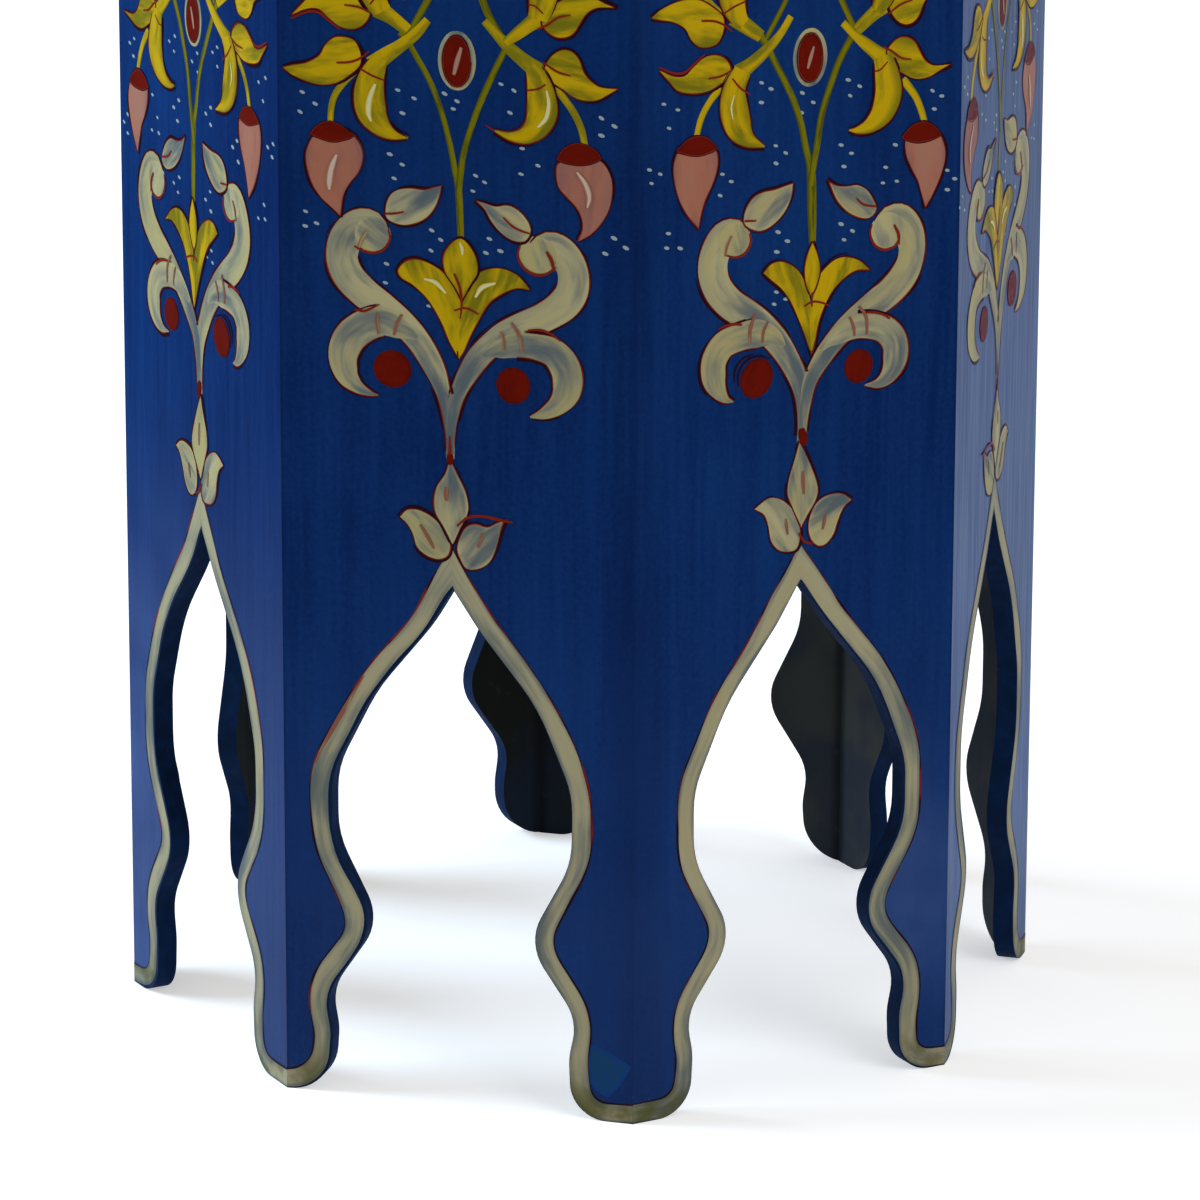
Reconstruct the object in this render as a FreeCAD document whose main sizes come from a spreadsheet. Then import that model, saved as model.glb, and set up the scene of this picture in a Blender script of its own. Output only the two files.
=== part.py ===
import FreeCAD, Part

import math
import os

import Sketcher

# Tall octagonal side table of painted wood, in millimetres with +Z up. The origin is on the floor under
# the middle of the table. The front panel faces -Y, and the other sides follow it towards +X.

SIDES = ["front", "front_right", "right", "back_right", "back", "back_left", "left", "front_left"]
SIDE_TURN = 360 / len(SIDES)
HALF_SIDE = f"{SIDE_TURN / 2} deg"

SIZES = {
    "across_flats": (370, "body, from one panel's face to the opposite one"),
    "panel_height": (693, "side panels, floor to top board"),
    "board_thickness": (9, "side panels"),
    "arch_height": (228, "floor to the point of each sawn arch"),
    "foot_reach": (25, "fold to the widest part of the arch"),
    "foot_round": (16, "inner lower corner of each foot"),
    "shift_front": (-2, "arch off the middle of its panel, as marked out by hand"),
    "shift_front_right": (2, "same"),
    "shift_right": (-2.5, "same"),
    "shift_back_right": (1, "same"),
    "shift_back": (-1.5, "same"),
    "shift_back_left": (2, "same"),
    "shift_left": (1.5, "same"),
    "shift_front_left": (-1, "same"),
    "block_leg": (22, "glue block, along each of its two panels"),
    "block_bottom": (262, "floor to the lower end of the glue blocks"),
    "block_top_gap": (6, "glue block's upper end to the top board"),
    "cleat_depth": (16, "cleat, from the panel inwards"),
    "cleat_height": (20, "cleat"),
    "cleat_end_gap": (1, "cleat's end to the glue block"),
    "top_thickness": (18, "top board"),
    "top_overhang": (5, "top board past the panels' faces"),
    "middle_plank": (132, "width of the middle plank of the top"),
    "strip_thickness": (10, "moulding round the top board"),
    "strip_round": (5, "outer edges of the moulding"),
    "screw_radius": (2, "shank of the top screws"),
    "screw_head_radius": (4, "top screws"),
    "screw_head_height": (2.6, "top screws"),
    "screw_length": (32, "top screws"),
    "brad_radius": (0.8, "brads of the cleats and the moulding"),
    "brad_length": (22, "same"),
    "brad_spacing": (70, "between the two brads of a piece"),
    "hole_clearance": (0.1, "fastener to the wall of its hole"),
    "overrun": (5, "cutting shapes past the wood that they cut"),
}

# One side of the arch from the foot's heel up to the last bend below the point: half width as a share of
# the arch's half width, height as a share of the arch's height, and the bend's radius as a share of the
# arch's half width.
ARCH_SHARES = [
    (0.98, 0.118, 0.58),
    (1.05, 0.193, 0.42),
    (0.641, 0.334, 0.42),
    (1.0, 0.496, 0.78),
    (1.0, 0.627, 0.78),
    (0.718, 0.785, 1.65),
    (0.233, 0.921, 1.94),
]

# How each hand-sawn half arch, left and right, strays from that pattern. The first number is its foot's
# rounding as a share of foot_round. The others say how much further out the saw went at the foot, the heel,
# the hollow above it, the nose, the lower and upper belly, the shoulder and the neck, as shares of
# foot_reach.
SAWN_SHARES = {
    "front": ((1.2, 0.16, 0.13, 0.1, 0.08, 0.08, 0.08, -0.06, -0.06),
              (1, 0, 0, 0, -0.04, 0, 0, 0, 0)),
    "front_right": ((1, -0.02, -0.03, -0.04, -0.1, -0.06, -0.06, -0.1, -0.04),
                    (1, 0, 0, 0, -0.1, 0, 0, 0, 0)),
    "right": ((1, 0.1, 0.11, 0.12, 0.14, 0.08, 0.08, 0, 0),
              (1.2, 0.14, 0.1, 0.04, 0, 0, 0, 0, 0)),
    "back_right": ((1.2, 0.16, 0.17, 0.15, 0.13, 0, 0, 0, 0),
                   (1, -0.26, -0.28, -0.3, -0.15, -0.06, -0.02, 0, 0)),
    "back": ((1.28, 0.14, 0.11, 0.06, 0.06, 0, 0, 0, 0),
             (1, -0.1, -0.06, 0, 0.02, 0, 0, 0, 0)),
    "back_left": ((1.36, 0.16, 0.19, 0.15, 0.1, 0, 0, 0, 0),
                  (1.3, 0.06, 0.04, 0, 0.04, 0, 0, 0, 0)),
    "left": ((1.15, 0.18, 0.16, 0.1, 0.14, 0.04, 0.04, 0, 0),
             (1.2, 0.04, 0.04, 0.04, 0, 0, 0, 0, 0)),
    "front_left": ((1, 0, -0.03, -0.06, -0.04, -0.04, -0.04, 0, -0.06),
                   (1, -0.2, -0.21, -0.22, -0.24, -0.06, -0.06, 0, 0)),
}

OUTER = "(sizes.across_flats / 2)"
INNER = "(sizes.across_flats / 2 - sizes.board_thickness)"
PANEL_HALF_WIDTH = f"({OUTER} * tan({HALF_SIDE}))"
ARCH_HALF_WIDTH = f"({PANEL_HALF_WIDTH} - sizes.foot_reach)"
TOP_APOTHEM = f"({OUTER} + sizes.top_overhang)"
STRIP_APOTHEM = f"({TOP_APOTHEM} + sizes.strip_thickness)"
TOP_MIDDLE = "(sizes.panel_height + sizes.top_thickness / 2)"
CLEAT_BOTTOM = "(sizes.panel_height - sizes.cleat_height)"
CLEAT_MIDDLE = "(sizes.panel_height - sizes.cleat_height / 2)"
CLEAT_FACE = f"({INNER} - sizes.cleat_depth)"
SCREW_Y = f"-({INNER} - sizes.cleat_depth / 2)"
BRAD_HOLE = "sizes.brad_radius + sizes.hole_clearance"

doc = FreeCAD.newDocument("octagonal_side_table")
sheet = doc.addObject("Spreadsheet::Sheet", "sizes")


def fill_sheet():
    """Write each size with its alias and meaning."""
    for row, (alias, (number, meaning)) in enumerate(SIZES.items(), start=1):
        sheet.set(f"A{row}", alias)
        sheet.set(f"B{row}", str(number))
        sheet.set(f"C{row}", meaning)
        sheet.setAlias(f"B{row}", alias)
    doc.recompute()


def value(expression):
    """Number that an expression gives now, for a sketch's first positions."""
    result = sheet.evalExpression(expression)
    return float(getattr(result, "Value", result))


def new_body(label, turn=0.0):
    """Empty body turned about the table's upright middle line."""
    body = doc.addObject("PartDesign::Body", label)
    body.Label = label
    body.Placement = FreeCAD.Placement(FreeCAD.Vector(), FreeCAD.Rotation(FreeCAD.Vector(0, 0, 1), turn))
    return body


def origin_feature(body, role):
    """Plane or axis of the body's own origin."""
    return next(feature for feature in body.Origin.OriginFeatures if feature.Role == role)


def attach(feature, body, role, place):
    """Put a sketch or primitive flat on an origin plane, moved by three expressions."""
    feature.AttachmentSupport = [(origin_feature(body, role), "")]
    feature.MapMode = "FlatFace"
    for axis, expression in zip("xyz", place):
        feature.setExpression(f"AttachmentOffset.Base.{axis}", expression)


def new_sketch(body, name, role, offset):
    """Empty sketch parallel to an origin plane."""
    sketch = body.newObject("Sketcher::SketchObject", name)
    attach(sketch, body, role, ("0", "0", offset))
    return sketch


def bend_geometry(corner, before, after, radius):
    """Arc that rounds a corner, its tangent length and whether it turns left."""
    arriving = (corner - before).normalize()
    leaving = (after - corner).normalize()
    turn = arriving.getAngle(leaving)
    leg = radius * math.tan(turn / 2)
    left = arriving.cross(leaving).z > 0
    side = 1 if left else -1
    inward = FreeCAD.Vector(-arriving.y, arriving.x, 0) * side
    centre = corner - arriving * leg + inward * radius
    first = math.atan2(-inward.y, -inward.x)
    last = first + side * turn
    circle = Part.Circle(centre, FreeCAD.Vector(0, 0, 1), radius)
    return Part.ArcOfCircle(circle, min(first, last), max(first, last)), leg, left


def add_outline(sketch, prefix, corners):
    """Closed outline through corners, each an (x, y, radius) of expressions; radius None is sharp."""
    points = [FreeCAD.Vector(value(x), value(y), 0) for x, y, radius in corners]
    count = len(points)
    bends = {}
    for i, (x, y, radius) in enumerate(corners):
        if radius:
            bends[i] = bend_geometry(points[i], points[i - 1], points[(i + 1) % count], value(radius))
    legs = [bends[i][1] if i in bends else 0.0 for i in range(count)]
    first_line = sketch.GeometryCount
    for i in range(count):
        j = (i + 1) % count
        along = (points[j] - points[i]).normalize()
        sketch.addGeometry(Part.LineSegment(points[i] + along * legs[i], points[j] - along * legs[j]))
    for i, (x, y, radius) in enumerate(corners):
        before = first_line + (i - 1) % count
        after = first_line + i
        if i in bends:
            arc, leg, left = bends[i]
            start, end = (1, 2) if left else (2, 1)
            bend = sketch.addGeometry(arc)
            mark = sketch.addGeometry(Part.Point(points[i]), True)
            sketch.addConstraint(Sketcher.Constraint("Tangent", before, 2, bend, start))
            sketch.addConstraint(Sketcher.Constraint("Tangent", bend, end, after, 1))
            sketch.addConstraint(Sketcher.Constraint("PointOnObject", mark, 1, before))
            sketch.addConstraint(Sketcher.Constraint("PointOnObject", mark, 1, after))
            bind_constraint(sketch, f"{prefix}_{i}_round", radius, "Radius", bend)
        else:
            mark = after
            sketch.addConstraint(Sketcher.Constraint("Coincident", before, 2, after, 1))
        bind_constraint(sketch, f"{prefix}_{i}_x", x, "DistanceX", -1, 1, mark, 1)
        bind_constraint(sketch, f"{prefix}_{i}_y", y, "DistanceY", -1, 1, mark, 1)


def bind_constraint(sketch, name, expression, kind, *places):
    """Named constraint that follows an expression of the sheet's sizes."""
    index = sketch.addConstraint(Sketcher.Constraint(kind, *places, value(expression)))
    sketch.renameConstraint(index, name)
    sketch.setExpression(f"Constraints.{name}", expression)


def extrude(body, kind, name, sketch, length, backwards=False, midplane=False):
    """Pad or Pocket of a sketch, as long as an expression says."""
    feature = body.newObject(f"PartDesign::{kind}", name)
    feature.Profile = sketch
    feature.setExpression("Length", length)
    feature.Reversed = backwards
    feature.Midplane = midplane
    return feature


def primitive(body, kind, name, role, place, **lengths):
    """Additive or subtractive cylinder or cone, placed and sized by expressions."""
    feature = body.newObject(f"PartDesign::{kind}", name)
    attach(feature, body, role, place)
    for prop, expression in lengths.items():
        feature.setExpression(prop, expression)
    return feature


def repeat_on_sides(body, name, originals):
    """Copy features to all sides of the table."""
    doc.recompute()
    pattern = body.newObject("PartDesign::PolarPattern", name)
    pattern.Originals = originals
    pattern.Axis = (origin_feature(body, "Z_Axis"), [""])
    pattern.Angle = 360
    pattern.Occurrences = len(SIDES)
    body.Tip = pattern


def mitre_ends(body, outer, inner, bottom, height):
    """Saw both ends of a side piece so that it meets its neighbours on the fold."""
    sketch = new_sketch(body, "mitre_plan", "XY_Plane", f"{bottom} - sizes.overrun")
    far = f"({outer} + sizes.overrun)"
    near = f"({inner} - sizes.overrun)"
    for prefix, sign in (("right", ""), ("left", "-")):
        add_outline(sketch, prefix, [
            (f"{sign}{far} * tan({HALF_SIDE})", f"-{far}", None),
            (f"{sign}{near} * tan({HALF_SIDE})", f"-{near}", None),
            (f"{sign}{far} * tan({HALF_SIDE})", f"-{near}", None),
        ])
    extrude(body, "Pocket", "mitres", sketch, f"{height} + 2 * sizes.overrun", backwards=True)


def brad_pair(body, kind, name, inner_end, middle, radius, length):
    """Two brads, or the holes for them, side by side at one height, square to the side's face."""
    pair = []
    for hand, sign in (("left", "-"), ("right", "")):
        place = (f"{sign}sizes.brad_spacing / 2", middle, inner_end)
        pair.append(primitive(body, kind, f"{name}_{hand}", "XZ_Plane", place, Radius=radius, Height=length))
    return pair


def half_arch(sawn_shares):
    """Corners of one half of an arch from the foot up, each with its distance from the middle line."""
    foot_share, stray_share, *stray_shares = sawn_shares
    corners = [(f"{ARCH_HALF_WIDTH} + {stray_share} * sizes.foot_reach", "0", f"{foot_share} * sizes.foot_round")]
    for (width_share, height_share, round_share), stray_share in zip(ARCH_SHARES, stray_shares):
        corners.append((
            f"{width_share} * {ARCH_HALF_WIDTH} + {stray_share} * sizes.foot_reach",
            f"{height_share} * sizes.arch_height",
            f"{round_share} * {ARCH_HALF_WIDTH}",
        ))
    return corners


def side_panel(side, turn):
    """Board with a mitre on each edge and an ogee arch sawn out of its lower end."""
    body = new_body(f"side_panel_{side}", turn)
    shift = f"sizes.shift_{side}"
    left_half, right_half = (half_arch(shares) for shares in SAWN_SHARES[side])
    left = [(f"{shift} - ({x})", y, radius) for x, y, radius in left_half]
    right = [(f"{shift} + {x}", y, radius) for x, y, radius in reversed(right_half)]
    front = new_sketch(body, "front_view", "XZ_Plane", INNER)
    add_outline(front, "edge", [
        (PANEL_HALF_WIDTH, "0", None),
        (PANEL_HALF_WIDTH, "sizes.panel_height", None),
        (f"-{PANEL_HALF_WIDTH}", "sizes.panel_height", None),
        (f"-{PANEL_HALF_WIDTH}", "0", None),
        *left,
        (shift, "sizes.arch_height", None),
        *right,
    ])
    extrude(body, "Pad", "board", front, "sizes.board_thickness")
    mitre_ends(body, OUTER, INNER, "0", "sizes.panel_height")
    length = "sizes.brad_length - sizes.cleat_depth + sizes.hole_clearance"
    brad_pair(body, "SubtractiveCylinder", "brad_hole", INNER, CLEAT_MIDDLE, BRAD_HOLE, length)
    return body


def glue_block(side, turn):
    """Three-sided block glued into the corner between a panel and the next one."""
    body = new_body(f"glue_block_{side}", turn)
    corner = f"({INNER} / cos({HALF_SIDE}))"
    reach = f"sizes.block_leg * cos({HALF_SIDE})"
    depth = f"({corner} - sizes.block_leg * sin({HALF_SIDE}))"
    plan = new_sketch(body, "plan", "XY_Plane", "sizes.block_bottom")
    add_outline(plan, "edge", [
        ("0", f"-{corner}", None),
        (reach, f"-{depth}", None),
        (f"-{reach}", f"-{depth}", None),
    ])
    extrude(body, "Pad", "block", plan, "sizes.panel_height - sizes.block_top_gap - sizes.block_bottom")
    return body


def cleat(side, turn):
    """Batten along the top of a panel, which the top is screwed to from below."""
    body = new_body(f"top_cleat_{side}", turn)
    half = f"({INNER} * tan({HALF_SIDE}) - sizes.block_leg - sizes.cleat_end_gap)"
    plan = new_sketch(body, "plan", "XY_Plane", CLEAT_BOTTOM)
    add_outline(plan, "edge", [
        (half, f"-{INNER}", None),
        (half, f"-{CLEAT_FACE}", None),
        (f"-{half}", f"-{CLEAT_FACE}", None),
        (f"-{half}", f"-{INNER}", None),
    ])
    extrude(body, "Pad", "batten", plan, "sizes.cleat_height")
    brad_pair(body, "SubtractiveCylinder", "brad_hole", CLEAT_FACE, CLEAT_MIDDLE, BRAD_HOLE,
              "sizes.cleat_depth")
    primitive(body, "SubtractiveCylinder", "screw_hole", "XY_Plane", ("0", SCREW_Y, CLEAT_BOTTOM),
              Radius="sizes.screw_radius + sizes.hole_clearance", Height="sizes.cleat_height")
    primitive(body, "SubtractiveCone", "countersink", "XY_Plane", ("0", SCREW_Y, CLEAT_BOTTOM),
              Radius1="sizes.screw_head_radius + sizes.hole_clearance",
              Radius2="sizes.screw_radius + sizes.hole_clearance",
              Height="sizes.screw_head_height")
    return body


def top_screws():
    """Countersunk screws from the cleats up into the top board."""
    body = new_body("top_screws")
    head = primitive(body, "AdditiveCone", "head", "XY_Plane", ("0", SCREW_Y, CLEAT_BOTTOM),
                     Radius1="sizes.screw_head_radius", Radius2="sizes.screw_radius",
                     Height="sizes.screw_head_height")
    shank = primitive(body, "AdditiveCylinder", "shank", "XY_Plane", ("0", SCREW_Y, CLEAT_BOTTOM),
                      Radius="sizes.screw_radius", Height="sizes.screw_length")
    repeat_on_sides(body, "screws", [head, shank])
    return body


def brads(label, inner_end, middle):
    """A pair of headless brads on every side, all at one height."""
    body = new_body(label)
    pair = brad_pair(body, "AdditiveCylinder", "brad", inner_end, middle, "sizes.brad_radius",
                     "sizes.brad_length")
    repeat_on_sides(body, "brads", pair)
    return body


def top_board():
    """Whole octagonal board with its screw and brad holes, before it is divided into planks."""
    body = new_body("top_board_blank")
    radius = f"({TOP_APOTHEM} / cos({HALF_SIDE}))"
    corners = []
    for i in range(len(SIDES)):
        angle = f"{SIDE_TURN * (i + 0.5)} deg"
        corners.append((f"{radius} * cos({angle})", f"{radius} * sin({angle})", None))
    plan = new_sketch(body, "plan", "XY_Plane", "sizes.panel_height")
    add_outline(plan, "edge", corners)
    extrude(body, "Pad", "octagon", plan, "sizes.top_thickness")
    screw_depth = "sizes.screw_length - sizes.cleat_height + sizes.hole_clearance"
    screw_hole = primitive(body, "SubtractiveCylinder", "screw_hole", "XY_Plane",
                           ("0", SCREW_Y, "sizes.panel_height"),
                           Radius="sizes.screw_radius + sizes.hole_clearance", Height=screw_depth)
    repeat_on_sides(body, "screw_holes", [screw_hole])
    brad_depth = "sizes.brad_length - sizes.strip_thickness + sizes.hole_clearance"
    inner_end = f"{TOP_APOTHEM} - ({brad_depth})"
    brad_holes = brad_pair(body, "SubtractiveCylinder", "brad_hole", inner_end, TOP_MIDDLE, BRAD_HOLE,
                           brad_depth)
    repeat_on_sides(body, "brad_holes", brad_holes)
    return body


def top_plank(name, board, front, width):
    """One plank of the top, between two lines across the board."""
    limits = doc.addObject("Part::Box", f"{name}_limits")
    limits.setExpression("Length", f"2 * {TOP_APOTHEM} + 2 * sizes.overrun")
    limits.setExpression("Width", width)
    limits.setExpression("Height", "sizes.top_thickness + 2 * sizes.overrun")
    limits.setExpression("Placement.Base.x", f"-{TOP_APOTHEM} - sizes.overrun")
    limits.setExpression("Placement.Base.y", front)
    limits.setExpression("Placement.Base.z", "sizes.panel_height - sizes.overrun")
    plank = doc.addObject("Part::Common", f"top_plank_{name}")
    plank.Label = f"top_plank_{name}"
    plank.Base = board
    plank.Tool = limits
    return plank


def edge_strip(side, turn):
    """Rounded moulding on one edge of the top board, mitred into its neighbours."""
    body = new_body(f"edge_strip_{side}", turn)
    section = new_sketch(body, "section", "YZ_Plane", "0")
    top = "sizes.panel_height + sizes.top_thickness"
    add_outline(section, "edge", [
        (f"-{STRIP_APOTHEM}", "sizes.panel_height", "sizes.strip_round"),
        (f"-{TOP_APOTHEM}", "sizes.panel_height", None),
        (f"-{TOP_APOTHEM}", top, None),
        (f"-{STRIP_APOTHEM}", top, "sizes.strip_round"),
    ])
    extrude(body, "Pad", "moulding", section, f"2 * {STRIP_APOTHEM} * tan({HALF_SIDE})", midplane=True)
    mitre_ends(body, STRIP_APOTHEM, TOP_APOTHEM, "sizes.panel_height", "sizes.top_thickness")
    length = "sizes.strip_thickness + sizes.overrun"
    brad_pair(body, "SubtractiveCylinder", "brad_hole", TOP_APOTHEM, TOP_MIDDLE, BRAD_HOLE, length)
    return body


def build_table():
    """All sub-parts, in the order in which the table goes together."""
    parts = []
    for i, side in enumerate(SIDES):
        turn = i * SIDE_TURN
        parts.append(side_panel(side, turn))
        parts.append(glue_block(side, turn + SIDE_TURN / 2))
        parts.append(cleat(side, turn))
        parts.append(edge_strip(side, turn))
    board = top_board()
    outside = f"{TOP_APOTHEM} + sizes.overrun - sizes.middle_plank / 2"
    parts.append(top_plank("front", board, f"-{TOP_APOTHEM} - sizes.overrun", outside))
    parts.append(top_plank("middle", board, "-sizes.middle_plank / 2", "sizes.middle_plank"))
    parts.append(top_plank("back", board, "sizes.middle_plank / 2", outside))
    parts.append(top_screws())
    parts.append(brads("cleat_brads", CLEAT_FACE, CLEAT_MIDDLE))
    parts.append(brads("strip_brads", f"{STRIP_APOTHEM} - sizes.brad_length", TOP_MIDDLE))
    doc.recompute()
    return parts


def check(parts):
    """Stop if any object failed or any sub-part has no sound shape."""
    for item in doc.Objects:
        if "Invalid" in item.State or "Error" in item.State:
            raise RuntimeError(f"{item.Name} failed: {item.State}")
    for item in parts:
        if item.Shape.isNull() or not item.Shape.isValid():
            raise RuntimeError(f"{item.Label} has no valid shape")


def write_steps(parts):
    """One STEP file for each sub-part, named after it."""
    os.makedirs("parts", exist_ok=True)
    for item in parts:
        item.Shape.exportStep(f"parts/{item.Label}.step")
        print(item.Label, len(item.Shape.Solids), round(item.Shape.Volume, 1))


fill_sheet()
table_parts = build_table()
check(table_parts)
write_steps(table_parts)
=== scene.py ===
"""Dresses the octagonal painted side table: its paint, its ornament and the studio round it."""

import math
from functools import partial

import bpy
from bpy.props import FloatProperty, FloatVectorProperty, PointerProperty
from bpy.types import Operator, Panel, PropertyGroup
from mathutils import Matrix, Vector, noise
from mathutils.geometry import tessellate_polygon


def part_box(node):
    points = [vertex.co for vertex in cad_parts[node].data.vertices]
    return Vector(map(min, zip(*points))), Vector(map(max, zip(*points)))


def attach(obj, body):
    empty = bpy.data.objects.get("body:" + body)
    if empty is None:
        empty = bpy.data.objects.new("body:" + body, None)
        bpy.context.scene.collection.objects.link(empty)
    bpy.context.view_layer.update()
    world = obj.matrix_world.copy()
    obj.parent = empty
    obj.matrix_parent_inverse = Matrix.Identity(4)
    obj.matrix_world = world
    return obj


bl_info = {
    "name": "Octagonal painted side table",
    "version": (1, 0, 0),
    "blender": (4, 5, 0),
    "location": "3D View > Sidebar > Side Table",
    "description": "Paints an octagonal wooden side table with borders, scrolls, flowers and buds",
    "category": "Object",
}

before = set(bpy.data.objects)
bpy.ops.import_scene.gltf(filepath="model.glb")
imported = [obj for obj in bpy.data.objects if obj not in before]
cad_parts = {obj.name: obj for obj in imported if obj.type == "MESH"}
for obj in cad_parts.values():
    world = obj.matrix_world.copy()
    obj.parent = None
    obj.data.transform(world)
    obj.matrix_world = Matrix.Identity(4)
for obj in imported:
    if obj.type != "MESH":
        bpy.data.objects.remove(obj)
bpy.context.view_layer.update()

SIDES = ("front", "front_right", "right", "back_right", "back", "back_left", "left", "front_left")
PANEL_SLOT = "painted_panel"
TOP_SLOT = "painted_top"
MOULDING_SLOT = "painted_moulding"
UP = Vector((0.0, 0.0, 1.0))

# Half an octagon's side, for a distance of 1 from its middle
HALF_SIDE = math.tan(math.pi / 8)

# How far a mark's foot lies in the wood, in metres, and how far it stands out round the mark, in millimetres
SUNK = -0.00002
SKIRT = 0.12


# Marks for the painter's tables


def stroke(level, lines, *points):
    """A stroke through points of place and width. lines gives the shares of its sides to outline."""
    return {"kind": "stroke", "level": level, "lines": lines, "points": points}


def shape(level, *points, lines=1.0):
    """A filled shape through points, with corners made by tip. lines is the share to outline."""
    return {"kind": "shape", "level": level, "lines": lines, "points": points}


def tip(across, height):
    """A sharp corner of a shape's outline."""
    return (across, height, 1.0)


def rotated(x, y, angle):
    """A place turned round the origin."""
    return x * math.cos(angle) - y * math.sin(angle), x * math.sin(angle) + y * math.cos(angle)


def oval(level, across, height, wide, high, lean=0.0, lines=1.0):
    """An oval shape, leaning by so many degrees."""
    corners = 10
    points = []
    for step in range(corners):
        angle = 2 * math.pi * step / corners
        x, y = rotated(wide / 2 * math.cos(angle), high / 2 * math.sin(angle), math.radians(lean))
        points.append((across + x, height + y))
    return shape(level, *points, lines=lines)


# What a stroke without outlines has for its lines
NONE = None

# The painted design, in millimetres on a panel 153.3 wide: place from the middle line, height above the
# floor and, for a stroke, its width. Two panels are given, and the others repeat them in turn.

FIRST_SCROLLS = (
    stroke(0, (0.03, 1.0, 0.23, 0.8),
           (-3, 284, 3.4), (-3.2, 293.5, 4), (-4, 302.5, 5.5), (-6, 312.5, 7), (-10, 322.5, 9),
           (-16, 332.5, 10),
           (-23, 340, 11), (-31, 346, 12.5), (-40, 352, 13.5), (-47, 359, 14), (-49.6, 367, 14),
           (-47.5, 375, 14.5), (-42, 380, 14.5), (-37, 380, 14), (-35.3, 376.5, 13)),
    stroke(0, (0.2, 0.8, 0.03, 1.0),
           (-2.9, 286, 3.4), (-2.8, 293.5, 3.8), (-2.2, 301, 4.8), (0.5, 312.5, 6.5), (5.5, 322.5, 8.5),
           (12, 331.5, 10), (20, 338.5, 11),
           (29, 343, 11.5), (38, 347.5, 12), (46, 353.5, 13.5), (50, 361, 13.8), (49.3, 369, 13.5),
           (44.5, 375, 14), (39.5, 376.5, 14), (36, 373.5, 13)),
    stroke(1, (0.24, 1.0, 0.3, 1.0),
           (-17, 334.5, 2), (-21, 336.5, 6), (-25, 338, 9), (-31, 340.3, 12.5), (-38, 338.5, 13.5),
           (-45.5, 333, 14), (-49, 325, 13),
           (-47.5, 317, 10.5), (-43, 312, 6), (-37.5, 309.5, 2.5), (-34, 308.8, 0.3)),
    stroke(1, (0.3, 1.0, 0.22, 1.0),
           (11.5, 329, 2), (15, 331, 5), (19, 332.5, 8), (26, 334.5, 10.5), (34, 334.5, 11.5),
           (42, 332, 12.5), (47, 325, 13.5),
           (47, 317, 12.5), (43.5, 311, 9), (38, 307, 5.5), (31.5, 304.5, 0.6)),
    shape(1, (-30, 384), (-30.5, 389), (-28.5, 394), (-25, 396.5), (-19.5, 397.5), (-13.5, 397.3),
          (-10, 398.5), tip(-6.5, 399.5), (-7.5, 395), (-9.5, 390), (-13, 385.5), (-18, 382.5), (-24, 381.5)),
    shape(1, tip(8, 394.5), (12.5, 393.5), (17, 392.2), (22, 393), (26.5, 391), (30.5, 386.5), (31.5, 382.5),
          (29, 378.5), (24, 378.5), (19, 381.5), (15, 386), (12, 391)),
    shape(1, tip(-25.5, 257.5), (-22, 261), (-17, 261.3), (-11, 258.5), (-6.5, 254), (-3, 247.5),
          (-4, 242.5), (-8, 240.5), (-13, 241.5), (-17.5, 245), (-19.5, 250.5), (-22, 254.5)),
    shape(1, (1.5, 251.5), (4, 255.5), (8, 257), (13, 256), (17, 258), tip(21, 260), (19.3, 255.5),
    (18, 250.5),
          (16, 244.5), (13, 240), (8, 237.5), (4, 237.5), (1.5, 241), (0, 245.5)),
    shape(2, tip(-3, 284), (-5, 277.5), (-9, 271.5), (-10.5, 265), (-9.5, 260), (-6, 255), tip(-2, 247.5),
          (1.5, 255), (4, 259.5), (5, 264), (3.5, 270.5), (0, 277.5)),
    oval(0.6, -36, 376.8, 15.4, 15.4, lines=0.0),
    oval(0.6, 34.5, 373, 16, 16, lines=0.0),
    oval(1, 0.3, 451.8, 16, 24.6, lines=0.0),
)

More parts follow.
